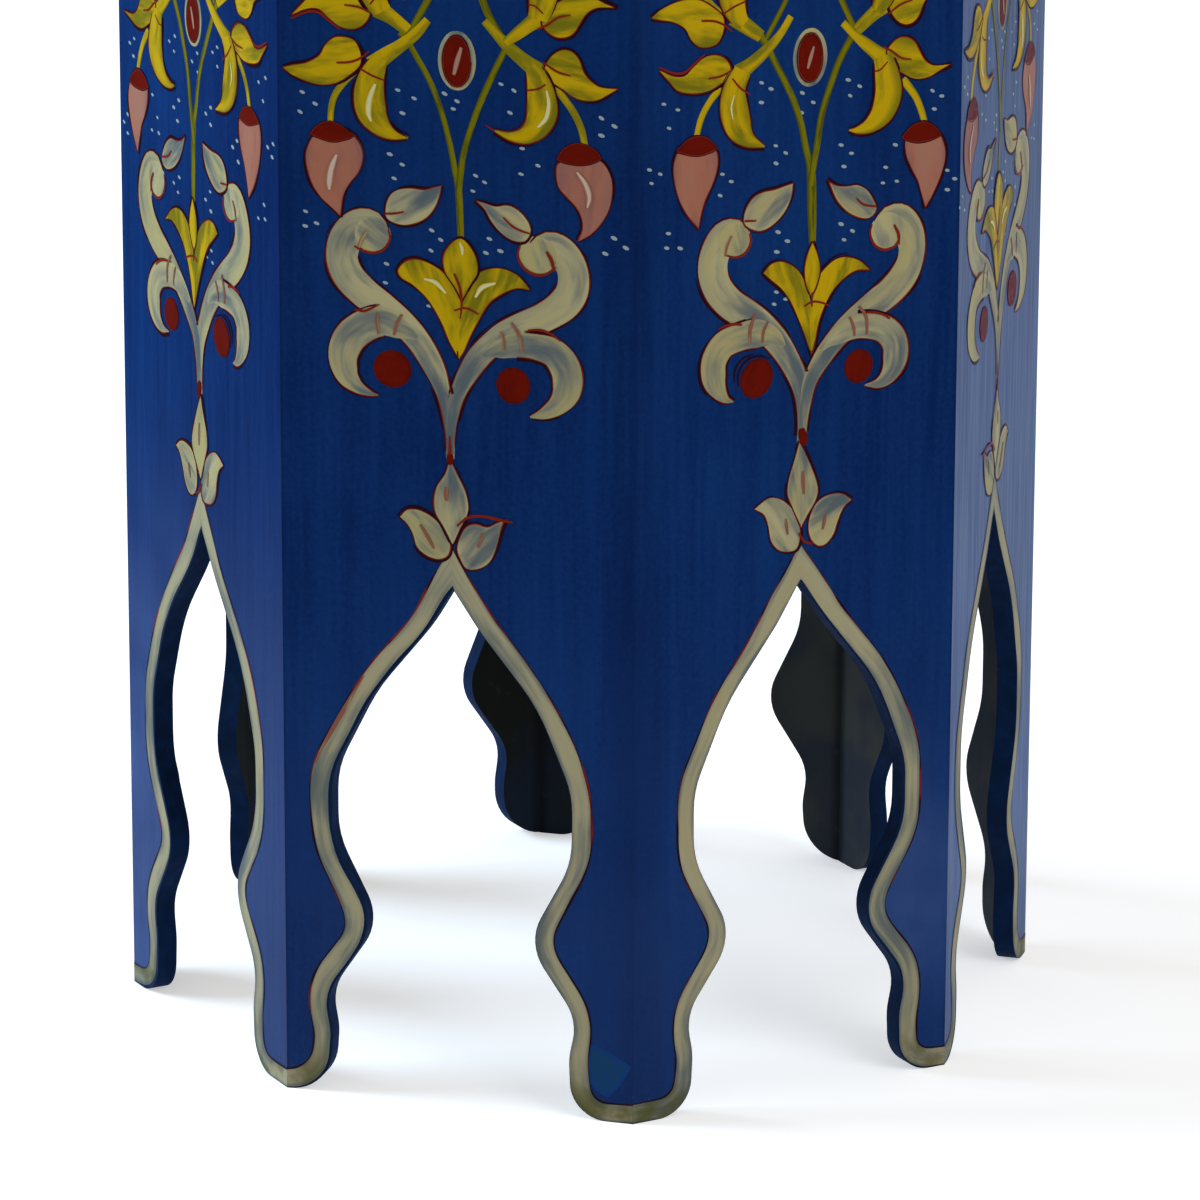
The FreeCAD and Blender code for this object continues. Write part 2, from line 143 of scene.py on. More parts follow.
SECOND_SCROLLS = (
    stroke(0, (0.03, 1.0, 0.25, 0.8),
           (1.4, 287, 3.6), (2, 292, 4.5), (2.4, 300, 6), (1, 311, 8), (-3.5, 321, 9.5), (-10, 331, 11),
           (-17, 338.5, 12), (-25, 345, 13), (-33, 351, 13.5), (-39, 358, 14), (-41.4, 366, 14),
           (-39.8, 373.5, 13.8), (-36, 379, 13.5), (-32, 379.5, 13.3), (-30.3, 377, 12.5)),
    stroke(0, (0.23, 0.8, 0.03, 1.0),
           (1.7, 289, 3.8), (2.3, 295, 4.4), (3.2, 302, 5.2), (5.5, 313, 7), (11, 322, 9), (18, 330, 10),
           (26, 336.5, 11), (35, 342, 12),
           (44, 347.5, 13), (51, 354.5, 13.5), (53.9, 363, 12.8), (52.3, 371, 13.3), (48, 376.5, 13.8),
           (43.5, 377, 13.8), (41, 374, 13)),
    stroke(1, (0.24, 1.0, 0.3, 1.0),
           (-7, 329.5, 2), (-10.5, 333, 6), (-14, 335, 9), (-20, 336.5, 12), (-28, 336, 11.8),
           (-36, 333.5, 12), (-40.5, 327, 12),
           (-40.3, 319.5, 11), (-38, 314, 7.5), (-34.5, 310, 3.5), (-31, 308.8, 0.5)),
    stroke(1, (0.3, 1.0, 0.22, 1.0),
           (10.5, 326, 2), (14, 329, 5), (18, 331, 8), (25, 333.5, 10.5), (33, 333.5, 11), (41, 331, 11.5),
           (46, 325, 12),
           (46.5, 317.5, 12), (43.5, 311.5, 8.5), (38.5, 308.3, 4.5), (31.8, 308.2, 0.5)),
    shape(1, (-26.3, 383.5), (-26, 389), (-23, 393.8), (-18.5, 395.8), (-12, 396.3), (-7, 397.3),
          tip(-3.7, 398), (-4.3, 393), (-6.5, 388), (-10, 384), (-15, 380.8), (-20, 380)),
    shape(1, tip(12.6, 397.8), (17, 395), (22, 394), (27, 394), (31.5, 391.5), (35, 387), (36.5, 383),
          (34.5, 380), (31, 379.3), (26, 381), (21, 384.5), (17, 389)),
    shape(1, tip(-20.3, 261.5), (-17, 263.7), (-13, 265.3), (-8, 264), (-3, 260), (0, 255), (1.5, 248),
          (0, 241.8), (-4, 241), (-9, 242.5), (-12.5, 247), (-13.7, 253), (-16, 258.5)),
    shape(1, tip(26.3, 259.7), (22, 262.7), (17, 263.3), (11, 261.5), (7.5, 257.5), (5.5, 251), (6.5, 245),
          (10, 241.5), (14, 241.7), (17.5, 245.5), (19.5, 251), (22.5, 257)),
    shape(2, tip(1, 288), (-1.5, 280), (-4.3, 272.5), (-5, 266), (-2.5, 260), tip(2, 250.5), (5, 255.5),
          (8.3, 260.5), (9.9, 265), (9, 270.5), (6.5, 277), (3.5, 283.5)),
    oval(0.6, -31, 377.5, 15, 15, lines=0.0),
    oval(0.6, 41.5, 373, 16, 16, lines=0.0),
    oval(1, 3.8, 450, 16, 24.4, lines=0.0),
)

FIRST_FLOWERS = (
    stroke(2, NONE, (-12, 468, 3.2), (-17, 462, 4.5), (-23, 457, 5), (-30, 452, 6.5), (-36, 447.5, 7.5)),
    stroke(3, (0.05, 1.0, 0.1, 1.0),
           (-31, 451, 5), (-33.5, 448, 8), (-36, 442.5, 11), (-37.2, 435, 13), (-36, 428, 12.5),
           (-32, 422.5, 8.5),
           (-27, 419.5, 4.5), (-20.5, 418.5, 0.4)),
    shape(2, (-41, 447), (-40.5, 452), (-43, 457.5), (-47, 459), (-52, 458.5), (-56, 455), (-58.5, 450.5),
          (-64, 447), (-70, 445.5), tip(-74, 444.3), (-70, 441.5), (-63, 439), (-57, 438.3), (-51, 439.5),
          (-46, 442.5)),
    stroke(2, NONE, (12, 469, 3.2), (17, 464, 4), (22, 459, 5), (29, 453.5, 6), (36, 449, 7.5)),
    stroke(3, (0.1, 1.0, 0.05, 1.0),
           (31.5, 451.7, 5), (34, 447.7, 8.5), (36, 441, 11.5), (36.5, 433, 12.5), (34, 426.5, 10),
           (29, 422.5, 6.5),
           (23, 421.8, 3.5), (16.5, 423.8, 0.5)),
    shape(2, (37, 447), (38, 452.5), (41, 456.7), (45, 459), (49, 458.5), (52, 455.5), (54, 450.5),
          (57, 447), (61, 444.7), tip(68.5, 444.3), (65, 442), (60, 439.5), (54, 439), (49, 440.5),
          (45, 443.3), (41, 445.5)),
    shape(2, tip(2, 351), (-1, 358), (-5, 362.5), (-11, 366.3), (-17, 368), (-22, 366.7), (-25.3, 362.5),
          (-24, 359.7), (-19, 357), (-14, 353), (-10, 348), (-6, 341), (-3, 334), tip(1, 327), (2.5, 338),
          lines=0.8),
    shape(2, tip(2.5, 353), (5, 359), (9, 363.7), (14, 366), (20, 366.3), (26, 364), (29.5, 360.7),
          tip(31.3, 358.4), (26, 358.7), (20, 356), (15, 352.5), (12, 348.5), (9, 343), (5.5, 336),
          (3.3, 331), tip(1, 327), (1.2, 340), lines=0.81),
    shape(3, (2, 377.8), (5.8, 375), (8.8, 369.5), (9, 363.8), (6, 359), tip(2.2, 351.5), (-1, 357.5),
          (-4.8, 363.5), (-5.3, 370), (-2, 375.5)),
)

SECOND_FLOWERS = (
    stroke(2, NONE, (-5.5, 468, 3), (-10.5, 461, 3.5), (-17, 455, 5), (-24, 450, 6), (-30, 446.5, 8)),
    stroke(3, (0.05, 1.0, 0.1, 1.0),
           (-28, 448, 8), (-32, 440, 11), (-32, 432, 13.2), (-29.5, 424, 12), (-25, 418.5, 6.5),
           (-17.5, 415, 0.6)),
    shape(2, (-34, 445.5), (-33.5, 450), (-36.5, 454), (-41, 455.7), (-46, 455), (-51, 451.5), (-55, 448.3),
          (-60, 448.5), tip(-66.5, 451.5), (-62, 446.5), (-58, 442.5), (-51, 440.7), (-44, 441), (-39, 443)),
    stroke(2, NONE, (19, 463, 3), (24.5, 457.5, 3.5), (30, 453, 5), (35, 449, 6), (39, 446, 8)),
    stroke(3, (0.1, 1.0, 0.05, 1.0),
           (38, 447, 8), (40, 439, 11.5), (41, 431, 13), (38.3, 423.5, 11), (32.5, 418.5, 6.5),
           (26.5, 417, 3),
           (22.5, 417.5, 0.4)),
    shape(2, (40, 448.5), (42.5, 452), (46, 453.9), (50, 453.7), (53.3, 451.7), (56, 447.5), (59, 443.2),
          (63, 440.8), tip(71.5, 440.3), (66, 438.3), (60, 436), (54, 436), (48, 438.7), (43.5, 441.7)),
    shape(2, tip(4.3, 351), (1, 358.5), (-3, 363), (-9, 366), (-14, 365.3), tip(-17.5, 361.8), (-13.5, 358.3),
          (-9, 354.5), (-5.5, 350), (-2, 343.5), (1.5, 336), (4, 329.7), tip(6, 324.5), (6.8, 338),
          lines=0.78),
    shape(2, tip(7, 352), (9, 357.5), (12.5, 361.3), (17, 364), (22, 364.5), (28, 362.2), tip(33.3, 357.5),
          (27, 358), (21, 355), (16, 350.5), (12, 344), (9, 336), (7.5, 330), tip(6, 324.5), (5, 338),
          lines=0.78),
    shape(3, tip(6, 372.5), (8.3, 367), (9.5, 360.5), (8, 354.5), tip(5.5, 349.5), (3, 355), (2.4, 361.5),
          (3.5, 367)),
)

FIRST_STEMS = (
    stroke(0, NONE, (1.8, 374, 2.6), (1.5, 385, 2.8), (0.7, 400, 2.8), (-0.5, 405, 2.5), (-2, 413, 2.3),
           (-4.5, 424, 2.3), (-8, 435, 2.3), (-12, 444, 2.3), (-17, 452.5, 2.3), (-20.5, 458, 2.3),
           (-24, 462, 2.6)),
    stroke(1, NONE, (1, 396, 2.2), (1.4, 402, 2.6), (3, 413, 2.5), (6.5, 425, 2.5), (11, 437, 2.6),
           (16, 448, 2.6), (21, 458, 2.6), (25, 464.5, 3)),
    stroke(1, NONE, (-42, 446, 3.2), (-47, 441, 2.8), (-51.5, 435, 2.6), (-53.5, 429, 2.5), (-54, 422, 2.4)),
    stroke(1, NONE, (40.5, 446.5, 3.6), (45, 440, 3), (49.5, 434, 2.9), (53, 427, 2.8), (54.7, 419.5, 2.6)),
)

SECOND_STEMS = (
    stroke(0, NONE, (6, 368, 2.6), (5.5, 385, 4.2), (5, 400, 4.2), (4, 406, 3.2), (2, 413, 2.9),
           (0, 422, 2.8), (-3.5, 432, 2.8), (-8, 441, 2.8), (-13, 450, 2.8), (-16.5, 456.5, 3),
           (-20, 461.5, 3.2)),
    stroke(1, NONE, (4.6, 396, 2.6), (5.7, 403, 3), (7.5, 413, 3), (9.5, 425, 3), (13, 436, 3),
           (17.5, 447, 3.1), (22, 454.5, 3.2), (26, 460.5, 3.3)),
    stroke(1, NONE, (-37, 442.5, 3.2), (-43, 436.5, 2.8), (-47, 430, 2.7), (-49.3, 422, 2.5)),
    stroke(1, NONE, (48, 436.5, 3.6), (54, 429, 3), (57, 423, 2.9), (59.3, 416, 2.6)),
)

FIRST_BUDS = (
    shape(1, (-61, 417), (-64.5, 410), (-64.3, 404), (-62, 396.5), (-58, 390.5), (-54, 387), tip(-50, 383.2),
          (-49.3, 388), (-48.5, 393), (-46, 397.7), (-42, 403), (-40.3, 409), (-41.3, 414), (-45, 418.5),
          (-53, 421)),
    shape(1, (43, 412), (42.3, 408), (43.5, 402), (47, 398), (51, 394), (53.5, 389.5), (53.8, 385),
          tip(52, 380.3), (57, 383.5), (61.5, 388.5), (65, 395), (66.3, 402), (65.5, 408), (61.5, 414),
          (52, 417.5)),
)

SECOND_BUDS = (
    shape(1, (-57.3, 418), (-59.8, 412), (-59.3, 405), (-57, 397), (-53.3, 390), tip(-47.8, 383.5),
          (-46.5, 390), (-44.5, 396), (-41, 403), (-39.3, 409), (-39.8, 415), (-44, 419.5), (-51, 420.5)),
    shape(1, (50.3, 412), (50, 405), (53, 398), (56, 393), (57.7, 388), tip(60, 380.6), (63.5, 386),
          (67, 393), (69, 401), (68.3, 407), (65, 412.5), (57, 414.5)),
)

FIRST_REDS = (
    shape(2, tip(-62.7, 417.3), (-58.8, 421.3), (-54, 423), (-48.8, 421.5), tip(-43.8, 417.5), (-46.5, 416),
          (-53, 414.5), (-59.5, 416)),
    shape(2, tip(42.8, 413.8), (45.5, 418), (50, 420.8), (55, 420.5), (59, 418.5), tip(61.5, 415.3),
          (57, 413), (52, 412), (47, 412.4)),
    oval(2, -27.8, 320.5, 16.4, 15.6, lines=0.0),
    oval(2, 24.2, 317.3, 14.4, 15.4, lines=0.0),
    oval(3, 0.3, 451.8, 11.4, 21),
    oval(3, -3, 284, 3, 5.4, lines=0.0),
)

SECOND_REDS = (
    shape(2, tip(-58.3, 417.3), (-53.3, 421.3), (-49.3, 422.3), (-44.5, 421), tip(-39.8, 416.5), (-43, 415.5),
          (-48, 414.7), (-53, 415.5)),
    shape(2, tip(48.3, 411.5), (52.5, 415.8), (58.5, 417.3), (63.5, 414.9), tip(67, 410.8), (62, 409.4),
          (56, 409), (51.5, 410)),
    oval(2, -20, 317.5, 15, 17, lean=-24, lines=0.0),
    oval(2, 28.8, 316.8, 13.6, 14.4, lines=0.0),
    oval(3, 3.8, 450, 11.2, 20),
    stroke(3, NONE, (1.6, 293.5, 2.2), (2.2, 290.5, 4), (3.2, 286, 2.4)),
)

# Strokes of thin red over the paint, with their widths

FIRST_LINES = (
    ((-29.2, 379.5, 0.7), (-28.5, 375.5, 1), (-31.2, 371, 1.1), (-35.5, 369.2, 1.1), (-40, 369.7, 1.1),
     (-44, 371.5, 0.7)),
    ((27.4, 377, 0.7), (26.3, 372.5, 1), (28.7, 367.6, 1.2), (33.5, 365, 1.3), (38.5, 365.6, 1.1),
     (42.5, 368.6, 0.7)),
    ((-51, 447.8, 0.9), (-45, 448.5, 1), (-40.5, 450.5, 0.9), (-37, 453.5, 0.6)),
    ((-41, 446, 0.8), (-36, 443.5, 0.9), (-30.5, 441.7, 0.7)),
    ((-31, 386, 0.8), (-27, 386.3, 1), (-22.5, 387.3, 0.7)),
    ((-44, 344.6, 0.8), (-40, 344.2, 1.1), (-36, 346, 0.9), (-33.5, 347.5, 0.5)),
    ((30.5, 341.3, 0.8), (36, 341.8, 1.1), (41, 340.2, 1), (44.5, 337.8, 0.7)),
    ((41.5, 367, 0.9), (40.8, 371, 1.6), (38.5, 375, 1.1)),
    ((20, 388, 0.7), (24, 384.5, 0.9), (28, 382.8, 0.9), (31.5, 382, 0.7)),
    ((-1, 363, 0.9), (1.5, 357, 1.2), (2.2, 350, 0.9), (1.6, 344, 0.5)),
    ((-1, 347.3, 0.7), (4, 348.7, 1), (9.5, 346.5, 0.7)),
    ((0, 255.5, 0.8), (5, 259.7, 1.2), (12, 260.6, 1.2), (18, 259.7, 1.4), (24, 259, 0.7)),
    ((-3, 286, 1.6), (-3, 290, 1.1), (-3.1, 294, 0.6)),
    ((37, 453.5, 0.7), (43, 450, 1), (48.5, 448.7, 0.7)),
    ((30, 441.5, 0.7), (35, 442.5, 0.9), (38, 444.5, 0.7)),
    ((16.5, 423.8, 0.9), (12.5, 426, 0.4)),
)

SECOND_LINES = (
    ((-24, 379.5, 0.7), (-23.5, 375.5, 1), (-26, 371.4, 1.1), (-30.5, 370, 1), (-34.8, 371.3, 0.7)),
    ((34.2, 376.7, 0.7), (33.3, 372.8, 1), (35.5, 367.8, 1.1), (40, 365.2, 1.1), (45, 366, 1),
     (47.2, 368.7, 0.6)),
    ((-44, 446, 0.7), (-38, 446.5, 1), (-33, 448.5, 0.7)),
    ((-33, 445, 0.7), (-29, 440.5, 0.9), (-24.5, 437.5, 0.6)),
    ((-67, 453, 0.6), (-60, 449.8, 1), (-55, 449.8, 1.1), (-50.5, 453, 0.9), (-46, 456.2, 0.6)),
    ((-26.5, 384.8, 0.9), (-21, 384.3, 0.8)),
    ((47.3, 366.5, 0.8), (47, 371, 1.4), (44.8, 375.3, 0.9)),
    ((26.5, 388.5, 0.7), (30, 385.5, 0.9), (36, 384, 0.8)),
    ((-38.5, 340.6, 0.6), (-35, 341.7, 1), (-31, 341.9, 1.2), (-27.3, 341.2, 1)),
    ((31.5, 339.4, 0.8), (35.5, 339, 1.1), (40, 337.6, 1), (43.5, 335.3, 0.7)),
    ((2, 345.5, 0.7), (6, 347, 1), (10, 346.3, 0.9), (14, 344.5, 0.6)),
    ((5.8, 351, 0.8), (5.8, 345, 0.7)),
    ((38, 451, 0.7), (42, 449, 1), (47, 445.5, 0.9), (52, 444.3, 0.6)),
    ((40.5, 444.5, 0.6), (37, 441.5, 0.8), (34, 441, 0.6)),
    ((0.8, 248.5, 0.8), (3.5, 244.5, 1.1), (7.5, 243, 0.8)),
)

# Pale red strokes across the scrolls and in the hearts of the leaves

FIRST_PALE = (
    ((-34, 344, 1.2), (-34.3, 340, 1.5), (-33.5, 335, 1.2)),
    ((-23.5, 344, 1.2), (-25.7, 340, 1.5), (-27, 335, 1.2)),
    ((23.5, 344, 1.2), (27, 338.5, 1.5), (28, 331.5, 1.2)),
    ((19, 340, 1), (20.2, 336.5, 1.3), (20.5, 332, 1)),
    ((-42.3, 370, 0.9), (-40.8, 374, 1.7), (-38.3, 378.5, 1)),
    ((-4.5, 272, 1.6), (-4.7, 269, 2.1), (-4.5, 266, 1.4)),
    ((-16, 255, 1.1), (-12.5, 249.5, 1.7), (-10, 245, 1)),
    ((11, 253.5, 1.1), (10.3, 250.5, 1.6), (9, 247, 1)),
)

SECOND_PALE = (
    ((-21, 345, 1.3), (-23.3, 339, 1.7), (-23.5, 333, 1.2)),
    ((-15, 341, 1.1), (-17, 337, 1.4), (-17.5, 332.5, 1)),
    ((24, 338.5, 1.1), (26, 334, 1.4), (26.5, 330, 1)),
    ((28.5, 342.5, 1.2), (32, 337.5, 1.5), (32.5, 330, 1.1)),
    ((2.5, 275, 1), (2.7, 270, 1.8), (3, 265, 1.1)),
    ((-5.5, 255.5, 0.9), (-5, 252, 1.4), (-4.5, 248.5, 0.8)),
    ((13.7, 254.8, 1), (13, 251.5, 1.6), (12.3, 248.5, 0.8)),
    ((-35.5, 371, 0.8), (-34.6, 375.5, 1.3), (-32.5, 379.3, 0.8)),
)

# Dark strokes round a red dot, where it was painted once more

SECOND_SHADES = (
    ((-30.6, 317, 0.4), (-30.4, 322, 0.9), (-27, 326.6, 1), (-21.5, 328, 0.5)),
    ((-28.6, 315, 0.4), (-28.7, 320.5, 0.9), (-25.6, 325.2, 1), (-19.5, 327, 0.8), (-14, 325.2, 0.4)),
)

# Pale lights laid last on buds, petals and the medallion

FIRST_LIGHTS = (
    ((-1, 446, 1.3), (0.5, 452, 2.2), (2.2, 457.5, 1.3)),
    ((-34.5, 440, 1), (-36.8, 434, 2.2), (-37.5, 428, 2), (-36.3, 424.3, 0.8)),
    ((-51.3, 409.5, 1), (-53.5, 404, 2.4), (-54.5, 398.5, 2.6), (-54.5, 394.5, 1.2)),
    ((51.3, 409, 0.9), (55, 404, 2), (56.6, 399, 2), (55.8, 394.5, 0.9)),
    ((-14, 359.7, 0.8), (-9, 358.5, 1.8), (-4.5, 354.3, 0.9)),
    ((8, 353.5, 0.8), (11, 358, 1.7), (16.8, 360.2, 0.8)),
    ((38.4, 442, 0.7), (39.4, 436.5, 1.3), (38.2, 430.5, 1.5), (34.6, 426.4, 0.8)),
    ((1.4, 376, 0.7), (2.4, 373.8, 1.5), (2.6, 371, 0.7)),
)

SECOND_LIGHTS = (
    ((2.5, 445.5, 1), (3.8, 450, 1.9), (5.3, 454.5, 1)),
    ((-32, 438, 0.4), (-33.3, 433, 0.8), (-32.5, 428, 0.4)),
)

FIRST_DOTS = (
    (-66, 434.5), (-60.5, 430), (-67, 426.2), (-25, 438), (-18, 435), (-23, 428.5), (-5, 437.8), (0.3, 435),
    (-1.3, 431.7), (19, 443.3), (24.5, 441), (22.8, 431.7), (61.5, 432), (67, 429), (61.5, 424.8),
    (-28.5, 411), (-23.2, 407), (-26.7, 401), (28, 417.2), (34.7, 410.5), (27.5, 406.5), (8.2, 404.5),
    (12, 402), (7, 398), (-65, 384.5), (-60.3, 379.8), (-65.2, 378.3), (-10.7, 380.3), (-6.8, 376.6),
    (-11, 371.8), (14, 378.5), (12.5, 372.5), (18.7, 373.7), (67, 382.5), (72, 378.8), (63.3, 375.8),
    (-30.2, 364.8), (-30.7, 356.8), (-12, 348.3),
)

SECOND_DOTS = (
    (-64.5, 437.5), (-58, 434.5), (-62, 427.3), (-19, 441.7), (-14.5, 438.7), (-19, 433.5), (0.3, 435.5),
    (5.5, 431), (0, 427.3), (22, 438.7), (27.5, 435.5), (23, 432), (62.5, 430), (67, 427.3), (63.5, 422.2),
    (-71, 411), (-66, 408.7), (-70, 405.3), (-37, 405.5), (-32.8, 402), (-38, 396.7), (-12, 414.7),
    (-7.3, 411.2), (-11.8, 407.3), (19, 411.7), (24, 407.7), (20.5, 402.5), (45, 409), (40.5, 400),
    (46, 393.5), (39.3, 393.5), (70.3, 395.5), (74, 391.5), (70.5, 387.2), (-62, 383.5), (-62.8, 377.5),
    (-56.5, 376.7), (-10.5, 378.3), (-6, 374), (-11, 370), (19.5, 378.3), (25, 374.8), (21, 371.5),
    (-11, 353), (-12, 348), (-6.5, 349.5),
)

DESIGNS = {
    "first": {"scrolls": FIRST_SCROLLS, "flowers": FIRST_FLOWERS, "stems": FIRST_STEMS, "buds": FIRST_BUDS,
              "reds": FIRST_REDS, "lines": FIRST_LINES, "pale": FIRST_PALE, "lights": FIRST_LIGHTS,
              "shades": (), "dots": FIRST_DOTS, "bud_lights": (2, 3), "foot": -2.0, "medallion": 0.3},
    "second": {"scrolls": SECOND_SCROLLS, "flowers": SECOND_FLOWERS, "stems": SECOND_STEMS,
               "buds": SECOND_BUDS, "reds": SECOND_REDS, "lines": SECOND_LINES, "pale": SECOND_PALE,
               "lights": SECOND_LIGHTS, "shades": SECOND_SHADES, "dots": SECOND_DOTS, "bud_lights": (),
               "foot": 2.0, "medallion": 3.8},
}

# Which mark of a kind belongs to the medallion, which both designs of a side share
MEDALLION = {"scrolls": 11, "reds": 4, "lights": 0}

# Heights in a design: where the band over its mirror image ends, and where the top's flowers start and end
BAND_END = 241.0
FLOWERS_START = 239.0
FLOWERS_END = 404.0
DOTS_START = 340.0
DOTS_SPREAD = 36.0

# Which design each side has, and whether it is turned left to right
SIDE_DESIGNS = {
    "front": ("first", False), "front_right": ("second", False), "right": ("first", True),
    "back_right": ("second", True), "back": ("first", False), "back_left": ("second", False),
    "left": ("first", True), "front_left": ("second", True),
}

# How full the cream paint is on some sides. The fuller cream on the front left and the right stands in part
# for painted light and sheen on them.
SIDE_FULLNESS_AND_LIGHT = {"front_right": 0.92, "front_left": 1.08, "left": 0.9, "right": 1.3, "back": 0.9}

# Blue margins between the border and the sawn edge, in millimetres: left half of the arch, right half
MARGINS = {"front_right": (0.2, 1.0)}
USUAL_MARGINS = (1.4, 0.25)
END_MARGIN = 0.6

# Between which heights red is rubbed into the left half of a border
RED_RUBS = {"front": (146.0, 188.0)}


class TableColours(PropertyGroup):
    """Colours of the table's paints and bare parts."""

    def tint(name, description, red, green, blue):
        return FloatVectorProperty(name=name, description=description, subtype="COLOR", size=3, min=0.0,
                                   max=1.0, default=(red, green, blue))

    ground: tint("Blue ground", "Deep blue of the panels, where the paint is thick", 0.001, 0.0135, 0.072)
    ground_light: tint("Blue brush marks", "Blue where the brush left it thinner", 0.003, 0.033, 0.138)
    sawn: tint("Sawn edges", "Dark blue on the sawn edges", 0.0022, 0.0105, 0.034)
    inside: tint("Inside", "Dark stain on the panels' inner faces", 0.013, 0.014, 0.0105)
    cream: tint("Cream", "Cream of scrolls and borders", 0.37, 0.315, 0.155)
    cream_thin: tint("Thin cream", "Cream where the blue shows through it", 0.083, 0.098, 0.098)
    cream_warm: tint("Warm cream", "Yellower cream in borders and scroll heads", 0.33, 0.27, 0.1)
    yellow: tint("Yellow", "Yellow of the flowers", 0.43, 0.27, 0.0015)
    yellow_shade: tint("Olive shade", "Shaded side of a petal", 0.15, 0.125, 0.004)
    olive: tint("Olive", "Stems", 0.15, 0.13, 0.0015)
    olive_shade: tint("Dark olive", "Shaded side of a stem", 0.06, 0.06, 0.003)
    pink: tint("Pink", "Buds", 0.31, 0.11, 0.062)
    pink_light: tint("Pale pink", "Brush marks in the buds", 0.3, 0.135, 0.09)
    pink_thin: tint("Thin pink", "Greyer pink where the blue shows through it", 0.17, 0.085, 0.08)
    red: tint("Red", "Caps of the buds, dots and medallion", 0.112, 0.0042, 0.0006)
    red_shade: tint("Dark red", "Red where it is thin on blue", 0.06, 0.003, 0.001)
    line: tint("Red line", "Outline over pale paint", 0.17, 0.012, 0.004)
    line_dark: tint("Maroon line", "Outline over blue", 0.016, 0.0025, 0.006)
    border: tint("Border", "Cream of the borders along the arches", 0.32, 0.275, 0.155)
    border_thin: tint("Thin border", "Grey where the border is thin", 0.1, 0.112, 0.1)
    border_warm: tint("Warm border", "Yellower stretches of the borders", 0.26, 0.21, 0.07)
    teal: tint("Teal", "Greenish patch on the front foot", 0.006, 0.037, 0.09)
    pale_red: tint("Pale red", "Thin red strokes over cream", 0.2, 0.075, 0.045)
    dot: tint("Dots", "Small pale dabs", 0.25, 0.29, 0.28)
    petal_light: tint("Lights on yellow", "Pale lights on the petals", 0.5, 0.48, 0.25)
    bud_light: tint("Lights on pink", "Pale lights on the buds", 0.44, 0.34, 0.25)
    medallion_light: tint("Light on red", "Pale light on the medallion", 0.3, 0.16, 0.11)
    pine: tint("Pine", "Bare pine of the blocks and cleats", 0.5, 0.33, 0.17)
    pine_dark: tint("Pine grain", "Late wood and knots", 0.3, 0.165, 0.07)
    steel: tint("Steel", "Screws and brads", 0.42, 0.42, 0.43)


class TableSizes(PropertyGroup):
    """Sizes of the painted work."""

    def length(name, description, metres):
        return FloatProperty(name=name, description=description, unit="LENGTH", min=0.0, precision=5,
                             default=metres)

    drawn_width: length("Drawn width", "Width of a panel in the drawn design", 0.1533)
    border_width: length("Border", "Width of the cream border along the arch", 0.0078)
    line_width: length("Outline", "Width of the red outlines", 0.00078)
    film: length("Paint", "Thickness of the ornament's paint", 0.00009)
    coat: length("Coat", "How much each layer of paint lies over the last", 0.00007)
    hair: length("Hair", "How much each mark of a layer lies over the one before it", 0.0000015)
    mirror_level: length("Mirror level", "Height at which the design is repeated upside down", 0.459)
    band_height: length("Top band", "Height of the cream band under the table's top", 0.007)
    top_border: length("Top border", "Width of the cream border round the top", 0.0075)
    top_inset: length("Top inset", "Distance of that border from the planks' edge", 0.007)
    top_motif_start: length("Top flowers start", "Distance of the top's flowers from its middle", 0.054)


class StudioSettings(PropertyGroup):
    """Lamps and backdrop of the studio."""

    world: FloatProperty(name="Surrounding light", description="Strength of the light from all round",
                         min=0.0, default=0.45)
    key: FloatProperty(name="Key lamp", description="Power of the large lamp on the left", unit="POWER",
                       min=0.0, default=180.0)
    fill: FloatProperty(name="Fill lamp", description="Power of the large lamp on the right", unit="POWER",
                        min=0.0, default=55.0)


def colours():
    return bpy.context.scene.side_table_colours


def sizes():
    return bpy.context.scene.side_table_sizes


def studio():
    return bpy.context.scene.side_table_studio


# Places on the table


def facing(side):
    """Outward direction of a side, and the direction to its right as seen from outside."""
    turn = math.radians(45.0 * SIDES.index(side))
    return Vector((math.sin(turn), -math.cos(turn), 0.0)), Vector((math.cos(turn), math.sin(turn), 0.0))


def reach(node_name, direction):
    """How far a node's mesh goes in a direction."""
    return max(vertex.co.dot(direction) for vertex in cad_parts[node_name].data.vertices)


class Ground:
    """A flat painted face: turns design millimetres into points of the table."""

    def __init__(self, origin, across, along, normal, scale=0.001):
        self.origin = origin
        self.across = across
        self.along = along
        self.normal = normal
        self.scale = scale

    def at(self, u, z, lift):
        place = self.origin + self.across * (u * self.scale) + self.along * (z * self.scale)
        return place + self.normal * lift


def panel_reach(side):
    """How far a panel goes outward and to its right, and the scale of the design on it."""
    face, half = [reach(f"side_panel_{side}", direction) for direction in facing(side)]
    return face, half, 2 * half / sizes().drawn_width / 1000.0


def panel_ground(side):
    outward, rightward = facing(side)
    face, _, scale = panel_reach(side)
    return Ground(outward * face, rightward, UP, outward, scale)


# Smooth curves


def steps_between(a, b, step):
    return max(1, round((b - a).length / step))


